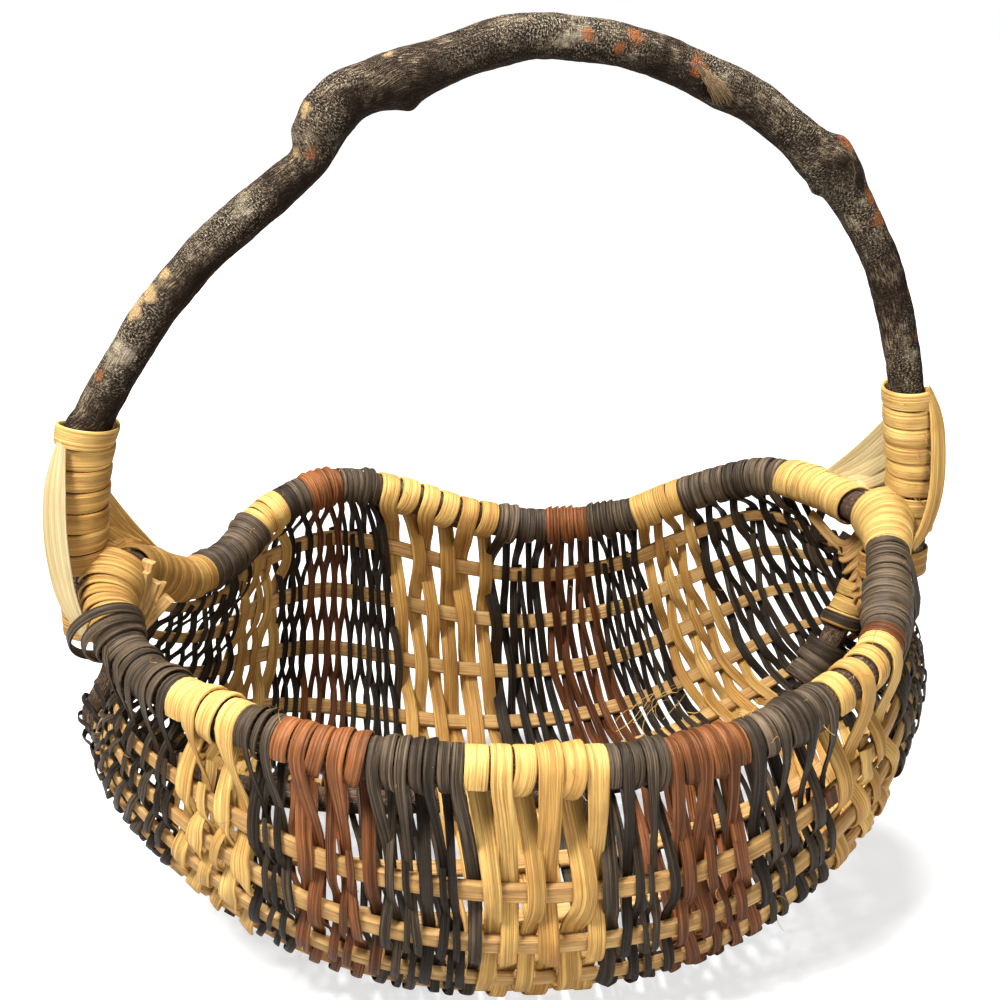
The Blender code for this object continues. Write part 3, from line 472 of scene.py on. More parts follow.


# Each bark: dark, middle and pale plates, lichen, the colour of its painted shade and dark patches,
# rubbed and peeled places, how fine its pattern is and how strong its relief.
finishes["bark"] = bark_finish(
    "branch_bark", (0.007, 0.0042, 0.0026), (0.066, 0.040, 0.024), (0.37, 0.28, 0.18),
    (0.62, 0.53, 0.37), (0.016, 0.0085, 0.0048), (0.34, 0.110, 0.035), (0.56, 0.37, 0.17), 1.0, 1.0)
finishes["vine_bark"] = bark_finish(
    "vine_bark", (0.030, 0.017, 0.012), (0.115, 0.068, 0.043), (0.24, 0.165, 0.11),
    (0.36, 0.26, 0.15), (0.03, 0.017, 0.012), (0.24, 0.10, 0.05), (0.45, 0.30, 0.15), 1.3, 0.80)
print("all finishes:", sorted(finishes))

# %% [markdown]
# ## Sweeping strands with Geometry Nodes
# Reed, rib, vine and branch are all long members, so node trees make them. A tree takes a line of
# points, turns it into a curve, sweeps an outline along it, and stores a UV map in metres. The
# points carry which way the flat side faces, how large the section is, and a tone. Curve objects
# with a bevel could do it too, but they can't turn a flat strand over point by point so exactly.

# %% The strand tree
def new_tree(name, inputs):
    geometry = [("Geometry", "Geometry", None)]
    return new_group(name, "GeometryNodeTree", geometry + inputs, geometry)


def named(tree, name, kind="FLOAT"):
    node = new_node(tree, "GeometryNodeInputNamedAttribute", {"Name": name}, data_type=kind)
    return node.outputs["Attribute"]


def store(tree, geometry, name, value, kind="FLOAT", domain="POINT"):
    links = {"Geometry": geometry, "Name": name, "Value": value}
    return made(tree, "GeometryNodeStoreNamedAttribute", links, data_type=kind, domain=domain)


def on_spline(tree, output):
    return new_node(tree, "GeometryNodeSplineParameter").outputs[output]


def outline_circle(tree, given):
    links = {"Resolution": given["Sides"], "Radius": 1.0}
    return made(tree, "GeometryNodeCurvePrimitiveCircle", links)


def sweep(tree, curve, outline):
    links = {"Curve": curve, "Profile Curve": outline, "Scale": named(tree, "size")}
    return made(tree, "GeometryNodeCurveToMesh", {**links, "Fill Caps": True})


def end_tree(tree, mesh, girth, given, out):
    """The UV map in metres, and the ending that makes a plain mesh with its finish."""
    uv = combine(tree, X=named(tree, "run"), Y=girth)
    mesh = store(tree, mesh, "strand_uv", uv, "FLOAT2", "CORNER")
    mesh = made(tree, "GeometryNodeSetShadeSmooth", {"Geometry": mesh})
    mesh = made(tree, "GeometryNodeRealizeInstances", {"Geometry": mesh})
    mesh = made(tree, "GeometryNodeSetMaterial", {"Geometry": mesh, "Material": given["Material"]})
    fill(tree, out, {"Geometry": mesh})


def make_strand_tree():
    """A flat-oval strand. Its dome and squareness say how flat its faces and its edges are."""
    tree, given, out = new_tree("swept_strand", [
        ("Width", "Float", 0.006), ("Thickness", "Float", 0.0015), ("Sides", "Int", 14),
        ("Dome", "Float", 0.75), ("Squareness", "Float", 0.5), ("Material", "Material", None),
    ])
    curve = made(tree, "GeometryNodeMeshToCurve", {"Mesh": given["Geometry"]})
    links = {"Curve": curve, "Normal": named(tree, "facing", "FLOAT_VECTOR")}
    curve = made(tree, "GeometryNodeSetCurveNormal", links, mode="FREE")
    curve = store(tree, curve, "run", on_spline(tree, "Length"))
    corner = made(tree, "GeometryNodeInputPosition")
    corner = new_node(tree, "ShaderNodeSeparateXYZ", {0: corner}).outputs
    halves = {}
    for axis, power, size in (("X", "Dome", "Thickness"), ("Y", "Squareness", "Width")):
        bulge = math_node(tree, "POWER", math_node(tree, "ABSOLUTE", corner[axis]), given[power])
        half = times(tree, math_node(tree, "SIGN", corner[axis]), times(tree, given[size], 0.5))
        halves[axis] = times(tree, bulge, half)
    links = {"Geometry": outline_circle(tree, given), "Position": combine(tree, **halves)}
    outline = made(tree, "GeometryNodeSetPosition", links)
    outline = store(tree, outline, "girth", on_spline(tree, "Length"))
    end_tree(tree, sweep(tree, curve, outline), named(tree, "girth"), given, out)
    return tree


strand_tree = make_strand_tree()
print("tree", strand_tree.name)

# %% Lines of points, and the meshes swept from them
def line_object(name, lines):
    """Points joined in lines. Each line gives its points, facings, sizes and tones."""
    mesh = bpy.data.meshes.new(name)
    points, edges, start = [], [], 0
    for line in lines:
        count = len(line["points"])
        points.append(np.asarray(line["points"]) + HOME)
        edges += [(start + i, start + i + 1) for i in range(count - 1)]
        start += count
    mesh.from_pydata(np.vstack(points).tolist(), edges, [])
    for key, kind in (("facing", "FLOAT_VECTOR"), ("size", "FLOAT"), ("tone", "FLOAT")):
        data = np.concatenate([np.asarray(line[key], np.float32) for line in lines])
        made = mesh.attributes.new(key, kind, "POINT")
        made.data.foreach_set("vector" if kind == "FLOAT_VECTOR" else "value", data.ravel())
    obj = bpy.data.objects.new(name, mesh)
    bpy.context.scene.collection.objects.link(obj)
    return obj


def run_tree(obj, tree, **inputs):
    """Makes the object's mesh what the tree gives. The modifier is taken off again."""
    modifier = obj.modifiers.new("made", "NODES")
    modifier.node_group = tree
    for socket in tree.interface.items_tree:
        if socket.in_out == "INPUT" and socket.name in inputs:
            modifier[socket.identifier] = inputs[socket.name]
    graph = bpy.context.evaluated_depsgraph_get()
    graph.update()
    mesh = bpy.data.meshes.new_from_object(obj.evaluated_get(graph))
    obj.modifiers.remove(modifier)
    obj.data = mesh
    mesh.name = obj.name


def place(obj, slot, nodes):
    """The finished piece rides on the basket, in place of its solids. Its slot is not used."""
    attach(obj, "root")
    if nodes:
        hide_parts(*nodes)
    print(f"{obj.name}: {len(obj.data.polygons)} faces")


def make_strands(name, finish, lines, width, thickness, nodes=(), slot=None, **shape):
    """A piece of one or more strands. The slot handed to place is the finish's name, if none is
    given.
    """
    obj = line_object(name, lines)
    run_tree(obj, strand_tree, Width=width, Thickness=thickness, Material=finishes[finish], **shape)
    place(obj, slot or finish, nodes)


def line(points, wide, size=1.0, tone=0.5):
    """A line for the strand tree. Wide is the way that the strand's width lies, point by point."""
    points = np.asarray(points, float)
    wide = np.broadcast_to(np.asarray(wide, float), points.shape)
    facing = unit(np.cross(np.gradient(points, axis=0), wide))
    size, tone = np.broadcast_to(size, len(points)), np.broadcast_to(tone, len(points))
    return {"points": points, "facing": facing, "size": size, "tone": tone}


print("a line holds:", ", ".join(line(np.eye(3), (0, 0, 1))))

# %% [markdown]
# ## Ribs
# The ribs are split from thicker reed, flat on two sides with soft edges. They taper into the
# ears, where the lashing holds them. Each is one sweep along a line of the wall, so all of them
# keep to the bowl's shape, and only their places round it are given.

# %% Rib places
# On each lobe: how far the first rib lies from the rim, and how far the next ones follow.
RIBS_IN_LOBE, RIB_POINTS, RIB_TONES = 7, 110, (0.3, 0.8)
FRONT_FIRST, FRONT_STEP, BACK_FIRST, BACK_STEP = 0.052, 0.0270, 0.034, 0.0305
front_around = [(FRONT_FIRST + i * FRONT_STEP) / section.length for i in range(RIBS_IN_LOBE)]
back_around = [1 - (BACK_FIRST + i * BACK_STEP) / section.length for i in range(RIBS_IN_LOBE)]
RIB_END_SHARE, TAPER_START_SHARE, TAPERED_SHARE = 0.028, 0.27, 0.30


def rib_scale(along):
    from_end = np.minimum(along, 1 - along)
    t = np.clip((from_end - RIB_END_SHARE) / (TAPER_START_SHARE - RIB_END_SHARE), 0, 1)
    return TAPERED_SHARE + (1 - TAPERED_SHARE) * t


draws = np.random.default_rng(11)
rib_steps = (1 - np.cos(np.linspace(0, math.pi, RIB_POINTS))) / 2
rib_alongs = RIB_END_SHARE + (1 - 2 * RIB_END_SHARE) * rib_steps
for lobe, arounds in (("front", front_around), ("back", back_around)):
    for number, around in enumerate(arounds, 1):
        lengthwise, outward = wall_ways(rib_alongs, around)
        crosswise, tone = np.cross(outward, lengthwise), draws.uniform(*RIB_TONES)
        rib = line(wall(rib_alongs, around), crosswise, rib_scale(rib_alongs), tone)
        node = f"{lobe}_rib_{number}"
        make_strands(f"{node}_reed", "rib_reed", [rib], RIB_WIDTH, RIB_THICKNESS, (node,),
                     Sides=16, Dome=0.35, Squareness=0.4)

# %% [markdown]
# ## Branch, rim and spine
# A branch is never an even tube. Its radius follows a table, and noise in the tree moves the
# surface, in slow swellings and in lengthwise ridges. Sculpting could do this for one branch, but
# a tree does it for all three members, and each has its own seed.

# %% The bark tree
# How fast the swellings change along a member and round it, and how much finer the ridges are.
SWELLS_ALONG, SWELLS_ROUND, RIDGES_FINER = 22.0, 1.6, (3.2, 2.6, 2.6)
NOISE_MIDDLE = 0.5


def make_bark_tree():
    """A round member with swellings and ridges that move its surface in and out."""
    tree, given, out = new_tree("bark_member", [
        ("Sides", "Int", 28), ("Spacing", "Float", 0.0025), ("Swelling", "Float", 0.0009),
        ("Ridges", "Float", 0.0006), ("Seed", "Float", 1.0), ("Closed", "Bool", False),
        ("Material", "Material", None),
    ])
    curve = made(tree, "GeometryNodeMeshToCurve", {"Mesh": given["Geometry"]})
    links = {"Geometry": curve, "Cyclic": given["Closed"]}
    curve = made(tree, "GeometryNodeSetSplineCyclic", links)
    links = {"Curve": curve, "Length": given["Spacing"]}
    curve = made(tree, "GeometryNodeResampleCurve", links, mode="LENGTH")
    curve = made(tree, "GeometryNodeSetCurveNormal", {"Curve": curve}, mode="MINIMUM_TWIST")
    curve = store(tree, curve, "run", on_spline(tree, "Length"))
    ring = store(tree, outline_circle(tree, given), "turn", on_spline(tree, "Factor"))
    mesh = sweep(tree, curve, ring)
    around = times(tree, named(tree, "turn"), 2 * math.pi)
    slow = combine(
        tree,
        X=times(tree, named(tree, "run"), SWELLS_ALONG),
        Y=times(tree, math_node(tree, "COSINE", around), SWELLS_ROUND),
        Z=times(tree, math_node(tree, "SINE", around), SWELLS_ROUND),
    )
    slow = vector_math(tree, "ADD", slow, combine(tree, X=given["Seed"]))
    quick = vector_math(tree, "MULTIPLY", slow, RIDGES_FINER)
    heights = []
    for place_in_noise, detail, size in ((slow, 2.0, "Swelling"), (quick, 3.0, "Ridges")):
        height = noise(tree, place_in_noise, 1.0, detail)
        height = math_node(tree, "SUBTRACT", height, NOISE_MIDDLE)
        heights.append(times(tree, height, given[size]))
    move = times(tree, plus(tree, *heights), 2.0)
    offset = vector_math(tree, "SCALE", made(tree, "GeometryNodeInputNormal"), move)
    mesh = made(tree, "GeometryNodeSetPosition", {"Geometry": mesh, "Offset": offset})
    end_tree(tree, mesh, times(tree, around, named(tree, "size")), given, out)
    return tree


def make_member(name, slot, points, radii, nodes=(), **inputs):
    """A bark-covered member along points, with one radius or one for each point."""
    points = np.asarray(points, float)
    radii, tones = np.broadcast_to(radii, len(points)), np.full(len(points), 0.5)
    member = {"points": points, "facing": np.zeros(points.shape), "size": radii, "tone": tones}
    obj = line_object(name, [member])
    run_tree(obj, bark_tree, Material=finishes[slot], **inputs)
    place(obj, slot, nodes)


bark_tree = make_bark_tree()
print("tree", bark_tree.name)

# %% Handle with its knots
# The bark's outline as it is seen: the place along the handle, how far the middle of the branch
# leans outward there, and its radius. Below the first row and past the last the lashings hide it.
HANDLE_LOOK = (
    (0.14, 0.0004, 0.0087), (0.16, 0.0001, 0.0084), (0.18, 0.0003, 0.0084), (0.20, -0.0006, 0.0087),
    (0.22, -0.0015, 0.0085), (0.24, -0.0012, 0.0083), (0.26, -0.0001, 0.0085),
    (0.28, 0.0010, 0.0088), (0.30, 0.0008, 0.0089), (0.32, 0.0002, 0.0084), (0.34, -0.0011, 0.0077),
    (0.35, -0.0008, 0.0085), (0.36, 0.0004, 0.0106), (0.37, 0.0006, 0.0115), (0.38, 0.0003, 0.0112),
    (0.39, 0.0005, 0.0107), (0.40, 0.0013, 0.0107), (0.41, 0.0018, 0.0116), (0.42, 0.0014, 0.0118),
    (0.43, 0.0002, 0.0109), (0.44, -0.0010, 0.0100), (0.45, -0.0015, 0.0096),
    (0.46, -0.0013, 0.0094), (0.48, -0.0007, 0.0098), (0.50, -0.0004, 0.0094),
    (0.52, -0.0002, 0.0090), (0.54, -0.0005, 0.0091), (0.56, -0.0010, 0.0088),
    (0.58, -0.0008, 0.0091), (0.59, -0.0006, 0.0091), (0.60, -0.0004, 0.0091),
    (0.61, -0.0007, 0.0094), (0.62, -0.0013, 0.0098), (0.64, -0.0012, 0.0096),
    (0.66, -0.0010, 0.0092), (0.68, -0.0005, 0.0095), (0.69, -0.0006, 0.0102),
    (0.70, -0.0010, 0.0113), (0.71, -0.0016, 0.0121), (0.72, -0.0020, 0.0111),
    (0.73, -0.0013, 0.0095), (0.74, -0.0002, 0.0089), (0.76, 0.0004, 0.0086),
    (0.78, -0.0001, 0.0083), (0.80, -0.0003, 0.0084), (0.82, 0.0001, 0.0083),
    (0.84, 0.0005, 0.0081), (0.86, 0.0006, 0.0079),
)
# Under the left top wrap the branch is thicker. Each row: a step from the wrap's share, how far
# the branch leans outward, and its radius.
HIDDEN_RADIUS, TOP_WRAP_AT = 0.0088, 0.0924
WRAP_FILLING = (
    (-0.004, 0.0, HIDDEN_RADIUS), (0.0, 0.0024, 0.0106), (0.002, 0.0024, 0.0106),
    (0.006, 0.0010, HIDDEN_RADIUS),
)
HANDLE_ROWS, BLUR_ROWS = 600, 11
handle_shares = np.linspace(0, 1, HANDLE_ROWS)
handle_places = handle.at(handle_shares)
handle_ways = handle.way(handle_shares)
handle_out = np.stack([-handle_ways[:, 2], 0 * handle_shares, handle_ways[:, 0]], axis=-1)
wrap_share = TOP_WRAP_AT / handle.length
look = np.array([
    (0.0, 0.0, HIDDEN_RADIUS),
    *((wrap_share + step, lean, radius) for step, lean, radius in WRAP_FILLING),
    *HANDLE_LOOK,
    (0.90, 0.0, HIDDEN_RADIUS), (1.0, 0.0, HIDDEN_RADIUS),
])
blur = np.hanning(BLUR_ROWS) / np.hanning(BLUR_ROWS).sum()
padded = (
    np.pad(np.interp(handle_shares, look[:, 0], column), BLUR_ROWS // 2, "edge")
    for column in look[:, 1:].T
)
leans, handle_radii = (np.convolve(column, blur, "valid") for column in padded)
handle_places[:, :3] += leans[:, None] * handle_out
make_member("bark_handle", "bark", handle_places[:, :3], handle_radii, ("handle_branch",),
            Sides=44, Spacing=0.0013, Swelling=0.0005, Ridges=0.0011)
print("top wrap at", round(wrap_share, 4), "branch radius", handle_radii.min(), handle_radii.max())

# %% [markdown]
# ## Bumps, rubbed bark and painted shade on the handle
# Small bumps and bare places sit where the photograph shows them. Each spot fades out with its
# distance, in one formula. The same spots could be painted by hand on vertex colours, but a table
# can be read and corrected. The mesh carries them as attributes, and the bark finish reads those.

# %% Bumps on the branch
# Each bump: its share of the length, how far outward and toward the front it lies, its reach and
# its height.
BUMPS = (
    (0.353, 1.0, 0.3, 0.0060, 0.0030), (0.368, 0.9, 0.4, 0.0060, 0.0014),
    (0.362, 0.1, 1.0, 0.0050, 0.0012), (0.415, -1.0, 0.2, 0.0040, 0.0022),
    (0.704, 1.0, 0.2, 0.0050, 0.0020), (0.709, -1.0, 0.2, 0.0036, 0.0022),
    (0.705, 0.2, 1.0, 0.0036, 0.0014), (0.600, -0.3, 1.0, 0.0050, 0.0012),
    (0.300, 0.6, 0.8, 0.0060, 0.0008), (0.235, -0.5, 0.8, 0.0060, 0.0008),
    (0.480, 0.4, 0.9, 0.0060, 0.0008), (0.780, -0.4, 0.9, 0.0060, 0.0008),
)
bark = bpy.data.objects["bark_handle"].data
corners = np.empty(len(bark.vertices) * 3)
bark.vertices.foreach_get("co", corners)
corners = corners.reshape(-1, 3) - HOME


def spot(share, outward, front, reach):
    """How much each corner of the bark belongs to a spot on it, and the spot's way outward."""
    row = round(share * (HANDLE_ROWS - 1))
    spoke = unit(outward * handle_out[row] + np.array([0, -front, 0]))
    away = np.linalg.norm(corners - handle_places[row, :3] - handle_radii[row] * spoke, axis=1)
    return np.exp(-((away / reach) ** 2)), spoke


for *where, height in BUMPS:
    near, spoke = spot(*where)
    corners += height * near[:, None] * spoke
bark.vertices.foreach_set("co", (corners + HOME).ravel())
bark.update()
print("bumps:", len(BUMPS))

# %% Rubbed and peeled places, and painted shade, on the branch
# Each place: its share of the length, how far outward and toward the front it lies, its reach, how
# strong it is, and whether the bark is rubbed to orange, peeled to pale wood, or darkened with
# painted shade under the torn flap and beside the knots.
MARKS = ("rubbed", "peeled", "painted_shade")
RUBBED = (
    (0.527, 0.3, 1.0, 0.0036, 1.0, 0), (0.556, 0.7, 0.9, 0.0040, 1.0, 0),
    (0.548, -0.2, 1.0, 0.0030, 0.9, 0), (0.598, 0.2, 1.0, 0.0050, 0.9, 0),
    (0.706, 1.0, 0.3, 0.0060, 1.0, 0), (0.737, 0.8, 0.7, 0.0050, 1.0, 0),
    (0.752, 0.7, 0.8, 0.0050, 1.0, 0), (0.805, 0.9, 0.6, 0.0034, 0.9, 0),
    (0.835, 0.9, 0.6, 0.0030, 0.8, 0), (0.208, 0.9, 0.5, 0.0050, 1.0, 1),
    (0.222, 0.9, 0.5, 0.0056, 1.0, 1), (0.236, 0.9, 0.5, 0.0040, 0.9, 1),
    (0.366, 0.9, 0.5, 0.0040, 0.9, 1), (0.340, 0.9, 0.6, 0.0030, 0.9, 1),
    (0.414, 0.9, 0.3, 0.0040, 0.8, 1), (0.165, 0.8, 0.7, 0.0030, 0.9, 0),
    (0.345, 0.3, 0.9, 0.0040, 0.7, 0), (0.598, -0.3, 1.0, 0.0040, 1.2, 2),
    (0.607, -0.6, 0.9, 0.0050, 1.2, 2), (0.616, -0.7, 0.8, 0.0040, 1.0, 2),
    (0.385, -0.2, 1.0, 0.0080, 0.8, 2), (0.725, 0.5, 1.0, 0.0050, 0.9, 2),
)
# Painted light and shade: the bark is lighter on its upper left side, where the light comes from,
# and nearly black on the other side, in painted shade.
LIT_SIDE, PAINTED_SHADE_LEVEL, PAINTED_SHADE_FALL = (-0.66, -0.20, 0.72), 0.42, 0.62
middles = handle_places[:, :3]
nearest = np.argmin((middles**2).sum(axis=1) - 2 * corners @ middles.T, axis=1)
spokes = unit(corners - middles[nearest])
marks = np.zeros((len(MARKS), len(corners)))
marks[MARKS.index("painted_shade")] = np.clip(PAINTED_SHADE_LEVEL - PAINTED_SHADE_FALL * (spokes @ unit(LIT_SIDE)), 0, 1)
for *where, strength, kind in RUBBED:
    marks[kind] = np.maximum(marks[kind], strength * spot(*where)[0])
for name, values in zip(MARKS, marks):
    bark.attributes.new(name, "FLOAT", "POINT").data.foreach_set("value", values)
print("rubbed, peeled and dark places:", len(RUBBED))

# %% Rim and spine
RIM_STOPS, SPINE_STOPS = 300, 260
rim_shares = np.linspace(0, 1, RIM_STOPS)
rim_points = np.vstack([front_rim.at(rim_shares)[:-1], back_rim.at(rim_shares[::-1])[:-1]])
make_member("vine_rim", "vine_bark", rim_points, RIM_RADIUS, ("rim_hoop",),
            Sides=22, Spacing=0.003, Swelling=0.0006, Ridges=0.0005, Closed=True, Seed=5.0)
SPINE_TOP, SPINE_START_SHARE = 0.0250, 0.030
spine_foot = FOOT_HEIGHT - SPINE_RADIUS
spine_middle = wall(np.linspace(SPINE_START_SHARE, 1 - SPINE_START_SHARE, 40), 0.5)
spine_route = Route([
    (-SPINE_FOOT_X, 0, SPINE_TOP), (-SPINE_FOOT_X, 0, spine_foot), *spine_middle,
    (SPINE_FOOT_X, 0, spine_foot), (SPINE_FOOT_X, 0, SPINE_TOP),
])
spine_points = spine_route.at(np.linspace(0, 1, SPINE_STOPS))
make_member("vine_spine", "vine_bark", spine_points, SPINE_RADIUS, ("spine_vine",),
            Sides=18, Spacing=0.0025, Swelling=0.0010, Ridges=0.0009, Seed=9.0)

# %% [markdown]
# ## The woven wall
# Each band of colour is one long strand. It leaves the rim, goes over one rib and under the next
# all the way to the other rim, takes two wraps round it and comes back beside itself. The
# neighbouring pass takes every rib from the other side. Between two ribs the strands have to
# pass each other, so they turn a little on edge, as louvres do. A woven picture on one sheet
# would be lighter, but light falls through a real basket, so every strand is its own sweep.

# %% The bands: passes, reed, and places on both rims in metres from the left ear
# Each reed: its width, how much of its place it fills on the wall, its tone on the wall, how much
# painted light makes it lighter on the rim, where the light falls from above, and how flat its face
# and its edges are.
REEDS = {
    "natural_reed": (0.0098, 1.10, 0.42, 0.34, 0.60, 0.45),
    "dark_reed": (0.0066, 0.98, 0.24, 0.44, 0.90, 0.75),
    "red_reed": (0.0076, 0.98, 0.32, 0.36, 0.85, 0.70),
}
REED_THICKNESS = 0.0019
WRAP_RADIUS = RIM_RADIUS + REED_THICKNESS / 2 + 0.0004
# Each band: its reed, its passes, after which of them a short pair stands, and its places.
BANDS = (
    ("dark_band_a", "dark_reed", 10, (2, 5, 8), (0.034, 0.090), (0.078, 0.127)),
    ("natural_band_b", "natural_reed", 4, (1,), (0.090, 0.127), (0.127, 0.146)),
    ("dark_band_c", "dark_reed", 4, (1,), (0.127, 0.143), (0.146, 0.161)),
    ("red_band_d", "red_reed", 5, (2,), (0.143, 0.180), (0.161, 0.181)),
    ("dark_band_e", "dark_reed", 7, (1, 4), (0.180, 0.217), (0.181, 0.203)),
    ("natural_band_f", "natural_reed", 6, (), (0.217, 0.273), (0.203, 0.275)),
    ("dark_band_g", "dark_reed", 5, (2,), (0.273, 0.297), (0.275, 0.303)),
    ("red_band_h", "red_reed", 6, (3,), (0.297, 0.332), (0.303, 0.327)),
    ("dark_band_i", "dark_reed", 7, (1, 4), (0.332, 0.377), (0.327, 0.354)),
    ("natural_band_j", "natural_reed", 4, (1,), (0.377, 0.432), (0.354, 0.384)),
    ("dark_band_k", "dark_reed", 9, (1, 3, 5, 7), (0.436, 0.495), (0.384, 0.446)),
)
# Where the bands' borders cross the bowl's middle, as shares from ear to ear, and how soon the
# passes bow out from the front rim and from the back rim.
MIDDLE_BORDERS = (
    0.036, 0.200, 0.283, 0.322, 0.378, 0.448, 0.516, 0.576, 0.652, 0.722, 0.805, 0.964,
)
BOW_POWERS = (1.0, 0.65)
# Beside each ear the wall is wider than the rim, so short passes fill it. Each has its places on
# the front rim, on the back rim and on the middle. They end under the lashing.
FILLS = (
    (0.955, 0.893, 0.968), (0.966, 0.925, 0.975), (0.976, 0.950, 0.981), (0.984, 0.970, 0.986),
)
FILL_FINISH = "dark_reed"
# Near an ear the ribs stand so close that neighbours are passed together, in these groups.
EAR_GROUPS = (0, 1, 2, 2, 3, 3, 4, 4, 4, 5, 5, 6, 6, 7, 8)
EAR_ZONE_SHARE, EAR_MIDDLE_SHARE = 0.135, 0.12
crossings = np.array([*front_around, 0.5, *reversed(back_around)])
pass_ends, middle_shares = [], []
members, shorts = {}, {finish: [] for finish in REEDS}


def add_pass(front, back, middle):
    pass_ends.append([front, back])
    middle_shares.append(middle)
    return len(pass_ends) - 1


def add_band(name, finish, count, pairs, spans, borders):
    """A band's passes. A pair of short ones keeps the over and under in step between two others."""
    places = sorted([*range(count), *(pair + third / 3 for pair in pairs for third in (1, 2))])
    members[name] = []
    for order, place_in_band in enumerate(places):
        front, back = (
            (low + (high - low) * (place_in_band + 0.5) / count) / rim.length
            for (low, high), rim in zip(spans, (front_rim, back_rim))
        )
        middle = borders[0] + (borders[1] - borders[0]) * (order + 0.5) / len(places)
        full = float(place_in_band).is_integer()
        (members[name] if full else shorts[finish]).append(add_pass(front, back, middle))


for ends_and_middle in FILLS[::-1]:
    shorts[FILL_FINISH].append(add_pass(*(1 - share for share in ends_and_middle)))
for band, *borders in zip(BANDS, MIDDLE_BORDERS, MIDDLE_BORDERS[1:]):
    name, finish, count, pairs, *spans = band
    add_band(name, finish, count, pairs, spans, borders)
for ends_and_middle in FILLS:
    shorts[FILL_FINISH].append(add_pass(*ends_and_middle))
pass_ends, middle_shares = np.array(pass_ends), np.array(middle_shares)
print("passes:", sum(map(len, members.values())), "and short ones:", sum(map(len, shorts.values())))


def pass_along(number, around):
    """Where a pass lies along the wall. Under the bowl the outer passes pack towards the ears."""
    front, back = pass_ends[number]
    bow = middle_shares[number] - (front + back) / 2
    power = np.where(around < 0.5, *BOW_POWERS)
    return front + (back - front) * around + bow * np.sin(math.pi * np.clip(around, 0, 1)) ** power


# %% One pass over and under the ribs
# Where points stand between two ribs and beside the rim, as shares of the gap.
GAP_STEPS = np.array([0.0, 0.15, 0.27, 0.38, 0.50, 0.62, 0.73, 0.85])
RIM_STEPS = np.array([0.34, 0.50, 0.66, 0.80])
LEAVES_RIM_SHARE = 0.15
CLEARANCE, PLAY, FLAT_REACH = 0.0003, 0.0007, 0.0046
SWAY, RIM_SWAY, TWIST_SHAKE = 0.0009, 0.0014, math.radians(9)
OVERLAP, LEAST_OVERLAP, SPREAD = 0.98, 0.35, 0.24
WIDTH_SHARES, WIDTH_SPREAD = (0.44, 0.95), (0.80, 1.15)


def pass_sides(number):
    """At each rib, whether the pass goes over it or under. Beside an ear, ribs go in groups."""
    ends, middle = pass_ends[number], middle_shares[number]
    beside_ear = min(*ends, *(1 - ends)) < EAR_ZONE_SHARE
    beside_ear = beside_ear or not EAR_MIDDLE_SHARE < middle < 1 - EAR_MIDDLE_SHARE
    turns = np.array(EAR_GROUPS) if beside_ear else np.arange(len(crossings))
    return np.where((number + turns) % 2 == 0, 1.0, -1.0)


def pass_heights(number):
    """The shares round the wall, the heights over it, and where the pass changes sides."""
    sides = pass_sides(number)
    alongs = pass_along(number, crossings)
    cores = np.where(crossings == 0.5, SPINE_RADIUS, RIB_THICKNESS / 2 * rib_scale(alongs))
    play = draws.uniform(0, PLAY, len(cores))
    heights = sides * (cores + REED_THICKNESS / 2 + CLEARANCE + play)
    # Beside a rib the strand lies flat on it. It changes sides in the gap, and turns on edge there.
    stops = np.array([0.0, *crossings, 1.0])
    levels = np.array([-sides[0] * WRAP_RADIUS, *heights, -sides[-1] * WRAP_RADIUS])
    rows = []
    for i in range(len(stops) - 1):
        gap = stops[i + 1] - stops[i]
        reach = FLAT_REACH / section.length / gap
        low, high, steps = reach, 1 - reach, GAP_STEPS
        if i == 0:
            low, steps = LEAVES_RIM_SHARE, np.append(RIM_STEPS, high)
        if i == len(stops) - 2:
            high, steps = 1 - LEAVES_RIM_SHARE, np.append([0.0, reach], 1 - RIM_STEPS[::-1])
        moved = np.clip((steps - low) / (high - low), 0, 1)
        lift = levels[i] + (levels[i + 1] - levels[i]) * (1 - np.cos(math.pi * moved)) / 2
        changed = levels[i] * levels[i + 1] < 0
        rows.append((stops[i] + gap * steps, lift, np.sin(math.pi * moved) * changed))
    return stops, *(np.concatenate(part) for part in zip(*rows))


def pass_line(number, width, fullness, spread=0.0):
    """Points, ways across and sizes of one pass, from the first rib to the last."""
    stops, around, lift, edge = pass_heights(number)
    along = pass_along(number, around)
    before, after = max(number - 1, 0), min(number + 1, len(pass_ends) - 1)
    apart = wall(pass_along(before, around), around) - wall(pass_along(after, around), around)
    pitch = np.linalg.norm(apart, axis=1) / (after - before)
    size = np.clip(fullness * pitch / width, *WIDTH_SHARES) * draws.uniform(*WIDTH_SPREAD)
    lengthwise, outward = wall_ways(along, around)
    sway = draws.normal(0, SWAY, len(crossings))
    sway[[0, -1]] += draws.normal(0, RIM_SWAY, 2) + spread * np.array([1, -1]) * pitch[[0, -1]]
    shift = np.interp(around, stops, [0, *sway, 0])
    points = wall(along, around) + lift[:, None] * outward + shift[:, None] * lengthwise
    turn = np.interp(around, crossings, draws.normal(0, TWIST_SHAKE, len(crossings)))
    lobe_way = np.where(around < 0.5, 1, -1)
    room = np.clip(OVERLAP * pitch / (width * size), LEAST_OVERLAP, 1.0)
    turn = turn + lobe_way * edge * np.arccos(room)
    wide = np.cos(turn)[:, None] * lengthwise + np.sin(turn)[:, None] * outward
    return points, wide, size


print("points in a pass:", 2 * (len(RIM_STEPS) + 2) - 1 + len(GAP_STEPS) * (len(crossings) - 1))

